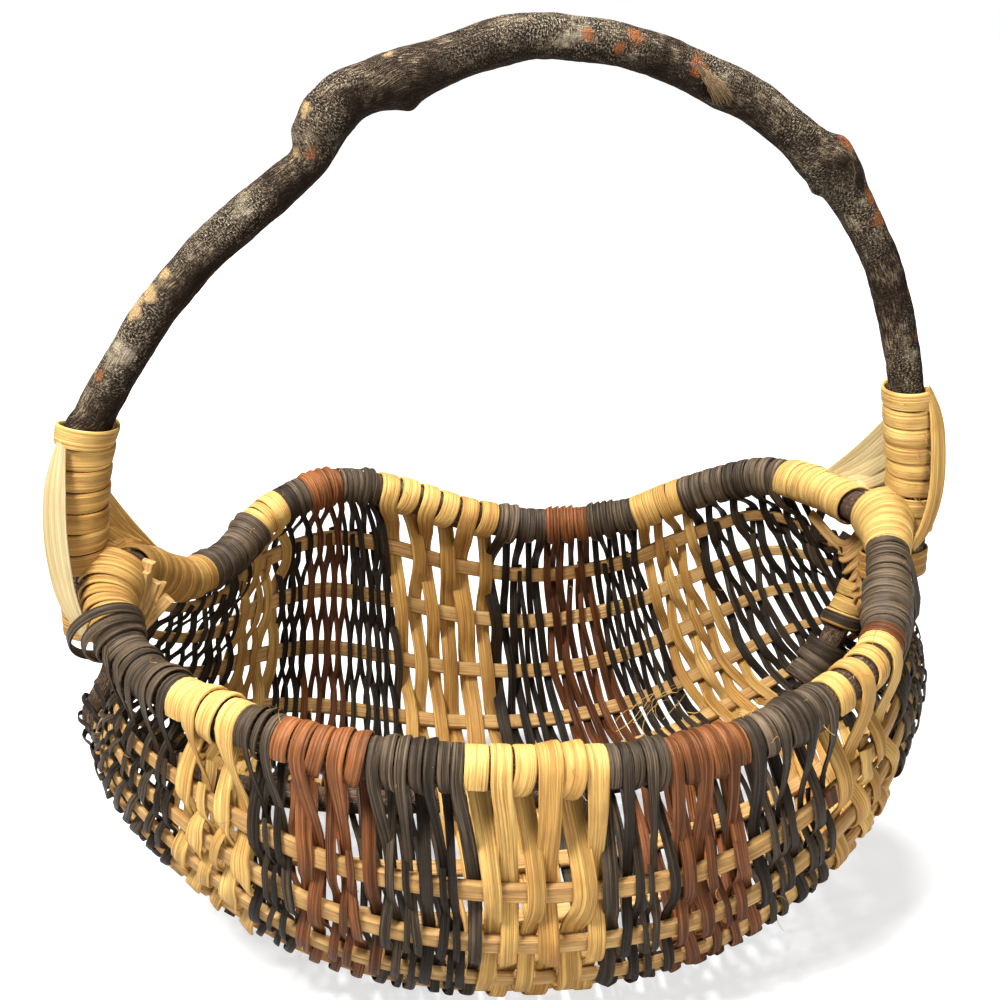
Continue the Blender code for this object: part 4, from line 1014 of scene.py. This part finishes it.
# %% Turns round the rim
# Angles go from outside over the top. A turn starts and ends a little below, and slides to the
# next pass while it is under the rim. The slide is given in degrees.
LEG_DROP = 0.0052
TURN_FROM, TURN_TO, TURN_STOPS = math.radians(-8), math.radians(548), 34
SLIDE_FROM, SLIDE_SPAN = 150, 240
TUCKED_OUTSIDE, TUCKED_INSIDE, TUCKED_STOPS = math.radians(215), math.radians(-35), 12
WAY_STEP = 0.012


def on_rim(edge, along, angle, drop=None, raised=0.0):
    """Points of a wrap at these angles, from outside over the top, and the ways across."""
    rim = rims["front" if edge == 0 else "back"]
    along, angle = np.broadcast_arrays(np.asarray(along, float), np.asarray(angle, float))
    way = rim.way(along, WAY_STEP)
    first_rib = front_around[0] if edge == 0 else back_around[0]
    down = wall(along, first_rib) - rim.at(along)
    down = unit(down - np.sum(down * way, axis=-1, keepdims=True) * way)
    out = np.cross(down, way) if edge == 0 else np.cross(way, down)
    spoke = np.cos(angle)[..., None] * out - np.sin(angle)[..., None] * down
    reach = WRAP_RADIUS + raised
    points = rim.at(along) + reach * spoke
    if drop is not None:
        points = rim.at(along) + reach * np.cos(angle)[..., None] * out + drop * down
    return points, way, spoke


def rim_turn(edge, from_along, to_along, tilt, raised):
    """One and a half turns: over the top, under the rim, and over the top beside the first."""
    angles = np.linspace(TURN_FROM, TURN_TO, TURN_STOPS)
    t = np.clip((np.degrees(angles) - SLIDE_FROM) / SLIDE_SPAN, 0, 1)
    along = from_along + (to_along - from_along) * t * t * (3 - 2 * t)
    points, way, spoke = on_rim(edge, along, angles, raised=raised)
    return points, np.cos(tilt) * way + np.sin(tilt) * spoke


def leg(edge, along, outside):
    """The point below the rim where a pass leaves it."""
    angle = 0.0 if outside else math.pi
    return on_rim(edge, np.array([along]), np.array([angle]), LEG_DROP)[:2]


def tucked_end(edge, along, outside, last):
    """A strand's own end, tucked under the rim: its first turn, or its last."""
    angles = (TUCKED_OUTSIDE, 0) if outside else (TUCKED_INSIDE, math.pi)
    angles = np.linspace(*(angles[::-1] if last else angles), TUCKED_STOPS)
    return on_rim(edge, np.full(TUCKED_STOPS, along), angles)[:2]


print("a wrap's middle stands off the rim's middle by", WRAP_RADIUS)

# %% Whole bands
# The first number is painted light and shade: each pass is lighter on the front lobe and darker on
# the back lobe, whose inside lies in shade.
PAINTED_LOBE_SHADE, RIM_FULLNESS, RIM_SHARES = 0.16, 1.02, (0.5, 1.0)
TONE_SPREAD, RIM_TONE_SPREAD, RIM_WIDTH_SPREAD, RIM_PLAY = 0.20, 0.12, (0.90, 1.08), 0.0005
SPARE_PLAY = 0.0006


def join(route, points, wide, size, tone):
    """Adds a stretch to the strand, point by point."""
    for key, values in (("points", points), ("wide", wide)):
        route[key].append(values)
    for key, values in (("size", size), ("tone", tone)):
        route[key].append(np.broadcast_to(values, len(points)))


def soften(values, keep, rounds):
    """Each value takes some of its two neighbours' values, and the ends stay."""
    for _ in range(rounds):
        values[1:-1] = values[1:-1] * keep + (values[:-2] + values[2:]) * ((1 - keep) / 2)


# A pass's tones, lighter on the front lobe and darker on the back lobe as painted light and shade.
def tones_with_painted_lobe_shade(tone, count):
    return np.clip(tone + np.linspace(PAINTED_LOBE_SHADE, -PAINTED_LOBE_SHADE, count), 0, 1)


def make_band(name, finish):
    """One unbroken strand: pass, turn, pass back, turn, from its first tucked end to its last."""
    numbers = members[name]
    # The rim's lift is painted light: wraps and tucked ends on the rim are lighter than the wall,
    # as if lit from above.
    width, fullness, wall_tone, rim_painted_light, dome, squareness = REEDS[finish]
    route = {"points": [], "wide": [], "size": [], "tone": []}
    pitches = np.abs(np.diff(pass_ends[numbers], axis=0)).mean(axis=0)
    rim_lengths = [front_rim.length, back_rim.length]
    rim_sizes = np.clip(RIM_FULLNESS * pitches * rim_lengths / width, *RIM_SHARES)
    for order, number in enumerate(numbers):
        ends, outside = pass_ends[number], number % 2 == 1
        start = order % 2
        way, edge = (-1 if start else 1), 1 - start
        tone = float(np.clip(draws.normal(wall_tone, TONE_SPREAD), 0, 1))
        # This draw isn't used. It keeps the later ones in their order.
        draws.uniform(0, SPARE_PLAY)
        if order == 0:
            tucked = tucked_end(start, ends[start], outside, last=False)
            join(route, *tucked, rim_sizes[start], tone + rim_painted_light)
        points, wide, size = pass_line(number, width, fullness, way * SPREAD)
        tones = tones_with_painted_lobe_shade(tone, len(points))
        stretch = [
            (*leg(0, ends[0], outside), [rim_sizes[0]], tones[:1]), (points, wide, size, tones),
            (*leg(1, ends[1], outside), [rim_sizes[1]], tones[-1:]),
        ]
        for part in stretch[::way]:
            join(route, *(np.asarray(values)[::way] for values in part))
        if number == numbers[-1]:
            tucked = tucked_end(edge, ends[edge], outside, last=True)
            join(route, *tucked, rim_sizes[edge], tone + rim_painted_light)
            break
        here, there = ends[edge], pass_ends[numbers[order + 1]][edge]
        rim_pitch = abs(there - here) * rim_lengths[edge]
        rim_size = rim_sizes[edge] * draws.uniform(*RIM_WIDTH_SPREAD)
        tilt = math.atan2(REED_THICKNESS, rim_pitch) if rim_pitch < width * rim_size else 0.0
        raised = 0.5 * width * rim_size * math.sin(tilt) + draws.uniform(0, RIM_PLAY)
        turned = rim_turn(edge, *((here, there) if outside else (there, here)), tilt, raised)
        turned = [values[:: 1 if outside else -1] for values in turned]
        join(route, *turned, rim_size, tone + rim_painted_light + draws.normal(0, RIM_TONE_SPREAD))
    points, wide, size, tone = (np.concatenate(parts) for parts in route.values())
    tone = np.clip(tone, 0, 1)
    soften(size, 0.4, 4)
    soften(tone, 0.4, 4)
    soften(points, 0.6, 2)
    soften(wide, 0.5, 2)
    make_strands(f"{name}_reed", finish, [line(points, wide, size, tone)], width, REED_THICKNESS,
                 (name,), Dome=dome, Squareness=squareness)


for name, finish, *_ in BANDS:
    make_band(name, finish)

# %% Short passes between the full ones
ear_shorts = {*range(len(FILLS)), *range(len(pass_ends) - len(FILLS), len(pass_ends))}
for finish, numbers in shorts.items():
    width, fullness, wall_tone, _, dome, squareness = REEDS[finish]
    short = []
    for number in numbers:
        points, wide, size = pass_line(number, width, fullness)
        inner = slice(None) if number in ear_shorts else slice(len(RIM_STEPS) - 1, -len(RIM_STEPS))
        tone = tones_with_painted_lobe_shade(draws.normal(wall_tone, TONE_SPREAD), len(points))
        short.append(line(points[inner], wide[inner], size[inner], tone[inner]))
    make_strands(f"short_{finish}_passes", finish, short, width, REED_THICKNESS,
                 Dome=dome, Squareness=squareness)

# %% [markdown]
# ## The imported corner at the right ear
# Under the back rim at the right ear, dark strands are packed so closely that no light comes
# through, and the ribs' tips are bent up into the lashing. A dark sheet would close the corner
# sooner, but it would show from outside, so both are short sweeps along the wall.

# %% Dark strands packed into the corner
# Each strand's places round the wall, how far it lies off the wall, outward or inward, and how far
# it is moved beside the pass that it follows.
PACKED_AROUND, PACKED_PAIRS = np.linspace(0.79, 0.985, 24), 6
PACKED_LIFT, PACKED_DROP, PACKED_STEP = 0.0026, -0.4, 0.45
packed = []
for number in range(len(pass_ends) - PACKED_PAIRS, len(pass_ends)):
    here, before = pass_along(number, PACKED_AROUND), pass_along(number - 1, PACKED_AROUND)
    outside = number % 2 == 1
    along = (here + before) / 2 if outside else here + (here - before) * PACKED_STEP
    lengthwise, outward = wall_ways(along, PACKED_AROUND)
    points = wall(along, PACKED_AROUND) + PACKED_LIFT * (1 if outside else PACKED_DROP) * outward
    packed.append(line(points, lengthwise, 1.0, 0.15 + 0.1 * (number % 4)))
make_strands("right_ear_packing", "dark_reed", packed, 0.0048, 0.0014)

# %% Rib tips bent up into the lashing
TIPS_AT, TIP_STEP = np.array([0.1886, 0.0120, 0.0415]), np.array([-0.0005, -0.0005, -0.0044])
TIP_BEND, TIP_WIDE, TIP_STOPS = np.array([0.0010, 0.0, 0.0012]), unit([0.25, -0.30, 0.90]), 16
# Where the tips leave the wall: three beside the back rim, and one at the end of each back rib.
TIP_RIB_END, TIP_REACH, TIP_CLOSER = 0.96, 0.992, 0.16
tip_starts = [(0.89, 1.0), (0.90, 0.985), (0.92, 0.965), *((TIP_RIB_END, a) for a in back_around)]
tips = []
for rank, (along, around) in enumerate(tip_starts):
    first = wall(along, around)
    last = wall(TIP_REACH - TIP_CLOSER * (TIP_RIB_END - along), around)
    end = TIPS_AT + rank * TIP_STEP
    route = Route([first, last, (last + end) / 2 + TIP_BEND, end])
    tips.append(line(route.at(np.linspace(0, 1, TIP_STOPS)), TIP_WIDE))
make_strands("right_rib_tips", "rib_reed", tips, 0.0056, 0.0020, Dome=0.3, Squareness=0.3)

# %% [markdown]
# ## The ears
# At each ear the handle's foot stands outside the rim. Natural reed is wound round the foot,
# round both rims beside it and round the spine, and flat strips brace the handle to the rims.
# A winding is a helix: a turn for each width of reed. Its ends dive under the turns beside them.
# A Screw modifier winds an even helix too, but here the turns follow a bent member, differ a
# little in height and tone, and swell where they cover something.

# %% Windings
EAR_REED_THICKNESS = 0.0018
TURN_POINTS, TUCK, TUCK_TURNS = 32, 0.0024, 0.16


def bell(distance, height, reach, at=0.0):
    return height * np.exp(-(((distance - at) / reach) ** 2))


def winding(path, sign, start, pitch, turns, radius, swell=None, moved=None, hide=(0, 0, -1),
            jitter=0.0004, tilt=0.0, tone=0.6, last_tone=None):
    """Reed wound round a member, from a distance off its end. Its ends lie on the hidden side."""
    t = np.linspace(0, turns, TURN_POINTS * turns + 1)
    distance = start + pitch * t
    share = distance / path.length if sign < 0 else 1 - distance / path.length
    way = path.way(share, 0.010)
    out = unit(np.array([sign, 0.0, 0.0]) - sign * way[:, :1] * way)
    side = np.cross(way, out)
    angle = 2 * math.pi * t + math.atan2(np.dot(hide, side[0]), np.dot(hide, out[0]))
    spoke = np.cos(angle)[:, None] * out + np.sin(angle)[:, None] * side
    numbers = np.arange(turns + 2)
    uneven = np.interp(t, numbers, draws.normal(0, jitter, len(numbers)))
    tucked = TUCK * np.clip(1 - np.minimum(t, turns - t) / TUCK_TURNS, 0, 1)
    reach = radius + (bell(distance, *swell) if swell else 0) + np.abs(uneven) - tucked
    centre = path.at(share)[:, :3] + 0.7 * uneven[:, None] * way
    if moved:
        centre = centre + bell(distance, *moved)[:, None] * out
    tones = draws.normal(tone, 0.2, len(numbers))
    if last_tone is not None:
        tones[-3:] = last_tone
    tones = np.interp(t, numbers, np.clip(tones, 0, 1))
    wide = math.cos(tilt) * way + math.sin(tilt) * spoke
    return line(centre + reach[:, None] * spoke, wide, 1.0, tones)


print("points in a turn:", TURN_POINTS)

# %% Lashings of the handle, the rims and the spine
# Start, pitch and turns of the reed on the handle, the front rim and the back rim.
EAR_WINDINGS = {
    "left": {
        "handle": (0.0300, 0.0096, 7), "front": (0.0010, 0.0040, 9), "back": (0.0080, 0.0088, 8),
    },
    "right": {
        "handle": (0.0228, 0.0088, 8), "front": (0.0010, 0.0044, 7), "back": (0.0125, 0.0092, 6),
    },
}
HANDLE_CORE = HANDLE_RADIUS * 0.86 + EAR_REED_THICKNESS / 2 + 0.0006
TOP_WRAP_REACH, TOP_WRAP_LIFT = 0.0048, {"left": 0.0024, "right": 0.0010}
EAR_TONES = {"left": 0.28, "right": 0.80}
# How far a wound reed's middle stands off the member.
WOUND_GAP = 0.0016
WOUND_RADIUS = RIM_RADIUS + WOUND_GAP
FRONT_SWELL, FRONT_MOVED = (0.0048, 0.020), (0.0050, 0.018)
SPINE_TURNS, SPINE_LOOP_FROM, SPINE_LOOP_STEP = 3, 0.0100, 0.0044
SIDES = (("left", -1), ("right", 1))
for side, sign in SIDES:
    sizes, tone = EAR_WINDINGS[side], EAR_TONES[side]
    start, pitch, turns = sizes["handle"]
    top = (TOP_WRAP_LIFT[side], TOP_WRAP_REACH, start + pitch * (turns - 0.5))
    wound = winding(handle, sign, *sizes["handle"], HANDLE_CORE, top, top, (0, 1, 0),
                    jitter=0.0008, tilt=0.08, tone=tone, last_tone=0.85)
    make_strands(f"{side}_handle_lashing", "natural_reed", [wound], pitch * 0.97,
                 EAR_REED_THICKNESS, (f"{side}_handle_winding",))
    wound = winding(front_rim, sign, *sizes["front"], WOUND_RADIUS, FRONT_SWELL, FRONT_MOVED,
                    tilt=0.14, tone=tone + 0.15)
    make_strands(f"{side}_front_lashing", "natural_reed", [wound], 0.0060, 0.0015,
                 (f"{side}_front_winding",))
    wound = winding(back_rim, sign, *sizes["back"], WOUND_RADIUS, jitter=0.0007, tilt=0.07,
                    tone=tone)
    make_strands(f"{side}_back_lashing", "natural_reed", [wound], sizes["back"][1],
                 EAR_REED_THICKNESS, (f"{side}_back_winding",))
    angle = np.linspace(0, 2 * math.pi * SPINE_TURNS, TURN_POINTS * SPINE_TURNS) + math.pi / 2
    loop_middle = (HANDLE_HALF_SPAN + FOOT_RADIUS + SPINE_FOOT_X - SPINE_RADIUS) / 2
    loop_reach = (HANDLE_HALF_SPAN + FOOT_RADIUS - SPINE_FOOT_X + SPINE_RADIUS) / 2 + WOUND_GAP
    x = sign * (loop_middle + loop_reach * np.cos(angle))
    y = (FOOT_RADIUS + WOUND_GAP) * np.sin(angle)
    z = SPINE_LOOP_FROM + SPINE_LOOP_STEP * (angle - angle[0]) / (2 * math.pi)
    loops = line(np.stack([x, y, z], axis=-1), (0, 0, 1), 1.0, 0.05)
    make_strands(f"{side}_spine_lashing", "natural_reed", [loops], 0.0044, 0.0015,
                 (f"{side}_spine_winding",))

# %% Flat strips between the handle and the rims
# Each outer strip is given by points from the top wrap down to the front rim.
OUTER_STRIPS = {
    "left": ((-0.1975, -0.0078, 0.1045), (-0.2010, -0.0120, 0.0878), (-0.2028, -0.0150, 0.0703),
             (-0.2026, -0.0178, 0.0540), (-0.2004, -0.0205, 0.0365), (-0.1945, -0.0240, 0.0200)),
    "right": ((0.1945, -0.0080, 0.1065), (0.1984, -0.0102, 0.0929), (0.1998, -0.0130, 0.0757),
              (0.1988, -0.0165, 0.0581), (0.1943, -0.0200, 0.0432), (0.1868, -0.0235, 0.0325)),
}
# The strips in front: how wide they are, and how far each lies to the side of the middle line.
STRIPS_ACROSS = {"left": (0.0052, (-0.0038, -0.0006, 0.0026)), "right": (0.0056, (-0.0036, 0.0010))}
# The strips behind: x and z of the first one's top and how far the next ones drop, then how far
# from the ear the first one's foot stands on the back rim and how much nearer the next ones do.
BACK_TOPS = {"left": (-0.1885, 0.0785, 0.0090), "right": (0.1880, 0.0860, 0.0090)}
BACK_FEET = {"left": (0.0375, 0.0075), "right": (0.0370, 0.0060)}
BACK_STRIPS = 5
STRIP_OVERLAP, STRIP_SAG, BACK_TOP_Y = 0.0006, 0.0016, 0.0095
for side, sign in SIDES:
    middle = Route(OUTER_STRIPS[side])
    t = np.linspace(0, 1, 40)
    strip_face = unit(np.array([sign * 0.35, -0.94, 0.1]))
    across = np.cross(middle.way(t, 0.03), strip_face) * sign
    strip_width, offsets = STRIPS_ACROSS[side]
    narrowed = np.interp(t, [0, 0.25, 0.8, 1], [0.5, 1.0, 1.0, 0.7])
    strips = []
    for number, offset in enumerate(offsets):
        spread = offset * (0.20 + 0.80 * np.sin(math.pi * t) ** 0.7)
        lift = STRIP_OVERLAP * number
        points = middle.at(t) + spread[:, None] * across + lift * strip_face
        strips.append(line(points, across, narrowed, 0.45 + 0.2 * number))
    make_strands(f"{side}_front_brace", "pale_reed" if side == "left" else "natural_reed", strips,
                 strip_width, 0.0014, (f"{side}_front_web",), "natural_reed")
    top_x, top_z, step = BACK_TOPS[side]
    far, foot_step = BACK_FEET[side]
    strips = []
    for number in range(BACK_STRIPS):
        top = np.array([top_x, BACK_TOP_Y + STRIP_OVERLAP * number, top_z - step * number])
        share = (far - foot_step * number) / back_rim.length
        share = share if sign < 0 else 1 - share
        foot = back_rim.at(share) + np.array([0, 0.0010 * number, RIM_RADIUS + 0.0008])
        points = top + (foot - top) * t[:, None]
        points[:, 2] -= STRIP_SAG * np.sin(math.pi * t)
        wide = np.cross(unit(foot - top), (sign * -0.2, -0.8, 0.5))
        strips.append(line(points, wide, 1.0, draws.uniform(0.1, 0.6)))
    make_strands(f"{side}_back_brace", "natural_reed" if side == "left" else "pale_reed", strips,
                 0.0080, 0.0012, (f"{side}_back_web",), "natural_reed")

# %% [markdown]
# ## What makes it this basket
# The rib ends stick out at the left ear, dark loops start the first band, a vine's stub is wound in
# at the right ear, the handle has a flap of torn bark, and strand ends, a chip and loose fibres
# stand off the weave. Each is a few short sweeps, placed by points read off the photograph.

# %% Rib ends, a splint and the first loops at the left ear
RIB_ENDS = (
    ((-0.1664, -0.004, 0.0446), (-0.1715, -0.002, 0.0260)),
    ((-0.1686, -0.006, 0.0410), (-0.1730, -0.003, 0.0220)),
    ((-0.1645, -0.004, 0.0350), (-0.1720, -0.002, 0.0180)),
    ((-0.1590, -0.004, 0.0262), (-0.1720, -0.001, 0.0120)),
)
RIB_END_WIDE = unit([0.5, -0.2, -0.8])
rib_ends = [line(np.linspace(low, high, 8), RIB_END_WIDE, 1.0, 0.6) for high, low in RIB_ENDS]
make_strands("left_rib_ends", "rib_reed", rib_ends, 0.0056, 0.0038,
             Sides=16, Dome=0.3, Squareness=0.3)
SPLINT = Route([(-0.1712, -0.0080, 0.0150), (-0.1660, -0.0022, 0.0232), (-0.1609, 0.0040, 0.0310)])
splint = line(SPLINT.at(np.linspace(0, 1, 12)), (0.5, -0.6, 0.2), 1.0, 0.7)
make_strands("left_splint", "natural_reed", [splint], 0.0040, 0.0016)
loops = winding(front_rim, -1, 0.0305, 0.0036, 3, 0.0100, (0.0072, 0.0070, 0.0300),
                (0.0052, 0.0070, 0.0300), tone=0.7)
make_strands("left_dark_loops", "dark_reed", [loops], 0.0050, 0.0016)

# %% Brown wraps and the wound stub at the right ear
brown_wraps = winding(front_rim, 1, 0.0868, 0.0034, 2, WOUND_RADIUS, tone=0.3)
make_strands("right_brown_wraps", "red_reed", [brown_wraps], 0.0034, 0.0012)
STUB = Route([
    (0.1880, 0.0290, -0.0040), (0.1845, 0.0285, -0.0140), (0.1783, 0.0280, -0.0261),
    (0.1685, 0.0260, -0.0436), (0.1557, 0.0240, -0.0587),
])
make_member("right_stub", "vine_bark", STUB.at(np.linspace(0, 1, 50)), 0.0062, Sides=18,
            Spacing=0.0020, Swelling=0.0012, Ridges=0.0010, Seed=3.0)
wound = winding(STUB, -1, 0.002, 0.0088, 3, 0.0086, hide=(0, 1, 0), jitter=0.0010, tone=0.8)
make_strands("right_stub_natural", "natural_reed", [wound], 0.0078, 0.0016)
wound = [
    winding(STUB, -1, 0.0180, 0.0100, 1, 0.0102, hide=(0, 1, 0)),
    winding(STUB, -1, 0.0400, 0.0046, 5, 0.0084, hide=(0, 1, 0), jitter=0.0014),
]
make_strands("right_stub_dark", "dark_reed", wound, 0.0052, 0.0014)

# %% The handle's torn flap
FLAP_AT, FLAP_STRIPS, FLAP_STOPS = 0.6010, 7, 12
flap = []
for number in range(FLAP_STRIPS):
    offset = np.array([0.0007 * number - 0.003, -0.0090, 0.0030 - 0.0004 * number])
    start = handle.at(FLAP_AT)[:3] + offset
    ahead, aside, down = 0.0005 * number, 0.0006 * number, 0.0008 * number
    droop = np.array([0.0088 + ahead, -0.0016 - aside, -0.0165 + down])
    t = np.linspace(0, 1, FLAP_STOPS)[:, None]
    bulge = np.array([0, -0.0026, 0.0010]) * np.sin(math.pi * t)
    points = start + droop * t + bulge + draws.normal(0, 0.0002, (FLAP_STOPS, 3))
    narrowed = 1.0 - 0.7 * t[:, 0] ** 3
    flap.append(line(points, unit([0.8, -0.1, 0.6]), narrowed, draws.uniform(0.2, 0.8)))
make_strands("handle_flap", "torn_bark", flap, 0.0022, 0.0007, slot="bark", Sides=8)

# %% Loose ends and a chip
LOOSE_ENDS = (
    ((-0.1270, -0.073, -0.0720), (-0.1349, -0.078, -0.0809), (-0.1410, -0.080, -0.0909)),
    ((-0.1220, -0.076, -0.0710), (-0.1290, -0.081, -0.0806), (-0.1351, -0.083, -0.0896)),
)
loose = np.linspace(0, 1, 10)
ends = [line(Route(points).at(loose), (1, -0.4, -0.5), 1.0, 0.5) for points in LOOSE_ENDS]
make_strands("loose_dark_ends", "dark_reed", ends, 0.0052, 0.0014)
CHIP_AT, CHIP_LIFT, CHIP_HALF = (0.714, 0.093), 0.0052, 0.004
chip_way, chip_out = wall_ways(*CHIP_AT)
chip_along = np.linspace(-CHIP_HALF, CHIP_HALF, 5)[:, None] * np.cross(chip_way, chip_out)
chip = line(wall(*CHIP_AT) + chip_out * CHIP_LIFT + chip_along, chip_way, 1.0, 0.1)
make_strands("chip", "red_reed", [chip], 0.0062, 0.0010, Dome=0.3, Squareness=0.3)

# %% Thin fibres
# How many fibres stand off the rims, off the wall, in the frayed wisps and at the handle's foot,
# how low on the wall they may still turn outward, and where the wisps are.
RIM_FIBRES, WALL_FIBRES, WISPS, HANDLE_FIBRES = 70, 90, 12, 16
FIBRE_FLOOR, WISPS_AT = -0.105, np.array([0.0399, -0.1000, -0.0040])


def fibre(start, reach, curl, points=9):
    """A thin fibre that leaves the weave at a point and curls as it goes."""
    t = np.linspace(0, 1, points)[:, None]
    away = unit(draws.normal(0, 1, 3)) * curl
    turn = unit(draws.normal(0, 1, 3)) * curl
    run = start + reach * t + away * np.sin(2.6 * t) + turn * (1 - np.cos(4.0 * t)) / 2
    return line(run, unit(draws.normal(0, 1, 3)), 1.0 - 0.6 * t[:, 0], draws.uniform(0.2, 0.9))


fibres = []
for _ in range(RIM_FIBRES):
    rim = front_rim if draws.uniform() < 0.6 else back_rim
    share, angle = draws.uniform(0.04, 0.96), draws.uniform(0, 2 * math.pi)
    spoke = np.array([0.3 * math.cos(angle), -math.cos(angle), math.sin(angle)])
    start = rim.at(share) + (RIM_RADIUS + 0.0018) * unit(spoke)
    fibres.append(fibre(start, 0.0050 * spoke, 0.0022))
for _ in range(WALL_FIBRES):
    along, around = draws.uniform(0.12, 0.88), draws.uniform(0.05, 0.95)
    _, outward = wall_ways(along, around)
    side = draws.choice([-1, 1]) if wall(along, around)[2] > FIBRE_FLOOR else -1
    start = wall(along, around) + side * 0.0025 * outward
    fibres.append(fibre(start, side * 0.004 * outward, 0.0032))
for _ in range(WISPS):
    start = WISPS_AT + draws.normal(0, 0.006, 3) * (1.6, 0.4, 0.6)
    fibres.append(fibre(start, np.array([0.008, 0.001, 0.010]), 0.007, 14))
for _ in range(HANDLE_FIBRES):
    share = 1 - draws.uniform(0.030, 0.090) / handle.length
    start = handle.at(share)[:3] + np.array([draws.uniform(-0.008, 0.006), -0.0112, 0])
    fibres.append(fibre(start, np.array([0.003, -0.003, -0.004]), 0.005))
make_strands("fibres", "natural_reed", fibres, 0.00036, 0.00030, Sides=5)

# %% [markdown]
# ## Camera, floor and light
# The camera stands where the photograph was taken from: a little left of the middle, above the
# rim. The floor and the world are pale, and three soft lamps light the basket evenly. A sun lamp
# would need less work, but wide disks give the soft shadows of a room.

# %% Camera
CAMERA_AT = np.array([-0.1309, -0.6583, 0.3051])
CAMERA_DOWN, CAMERA_TURN = math.radians(20.0), math.radians(10.64)
camera_data = bpy.data.cameras.new("camera")
camera_data.lens, camera_data.sensor_width = 55.8, 36.0
camera = bpy.data.objects.new("camera", camera_data)
bpy.context.scene.collection.objects.link(camera)
camera.location = CAMERA_AT + HOME
camera.rotation_euler = (math.pi / 2 - CAMERA_DOWN, 0, -CAMERA_TURN)
bpy.context.scene.camera = camera
print("camera at", [round(v, 3) for v in camera.location])

# %% Floor
FLOOR_GLOW, NEAR, FAR, FLOOR_HALF, FLOOR_GREY = 0.62, 0.35, 1.3, 6.0, 0.50


def pale_finish(name, grey):
    """A pale matt surface that the camera sees as nearly white, and that keeps shadows."""
    material, tree, shader = new_finish(name)
    seen = new_node(tree, "ShaderNodeLightPath").outputs["Is Camera Ray"]
    place = new_node(tree, "ShaderNodeTexCoord").outputs["Object"]
    far = new_node(tree, "ShaderNodeVectorMath", {0: place}, operation="LENGTH").outputs["Value"]
    fill(tree, shader.inputs, {
        "Base Color": (grey, grey, grey, 1.0),
        "Roughness": 0.9,
        "Emission Color": (1.0, 1.0, 1.0, 1.0),
        "Emission Strength": times(tree, seen, ramp(tree, far, NEAR, FAR, FLOOR_GLOW, 1.0)),
    })
    return material


floor_mesh = bpy.data.meshes.new("floor")
floor_signs = ((-1, -1), (1, -1), (1, 1), (-1, 1))
floor_corners = [(x * FLOOR_HALF, y * FLOOR_HALF, 0) for x, y in floor_signs]
floor_mesh.from_pydata(floor_corners, [], [(0, 1, 2, 3)])
floor = bpy.data.objects.new("floor", floor_mesh)
floor_mesh.materials.append(pale_finish("pale_floor", FLOOR_GREY))
bpy.context.scene.collection.objects.link(floor)
print("floor", 2 * FLOOR_HALF, "m wide")

# %% Lamps and world
# Each lamp: its place, size and power.
MIDDLE, AMBIENT = (0, 0, 0.15), 0.10
LAMPS = {
    "key_lamp": ((-0.80, -0.55, 1.55), 0.55, 54),
    "fill_lamp": ((0.30, -1.50, 0.70), 0.9, 12),
    "top_lamp": ((0.10, 0.30, 1.70), 0.5, 36),
}
for name, (at, size, power) in LAMPS.items():
    data = bpy.data.lights.new(name, "AREA")
    data.shape, data.size, data.energy = "DISK", size, power
    lamp = bpy.data.objects.new(name, data)
    bpy.context.scene.collection.objects.link(lamp)
    lamp.location = at
    lamp.rotation_euler = (Vector(MIDDLE) - Vector(at)).to_track_quat("-Z", "Y").to_euler()
world = bpy.data.worlds.new("studio")
world.use_nodes = True
world_tree = world.node_tree
seen = new_node(world_tree, "ShaderNodeLightPath").outputs["Is Camera Ray"]
strength = ramp(world_tree, seen, 0.0, 1.0, AMBIENT, 1.0)
background = world_tree.nodes["Background"].inputs
fill(world_tree, background, {"Color": (1.0, 1.0, 1.0, 1.0), "Strength": strength})
bpy.context.scene.world = world
bpy.context.scene.view_settings.view_transform = "Standard"
print("lamps:", ", ".join(LAMPS))
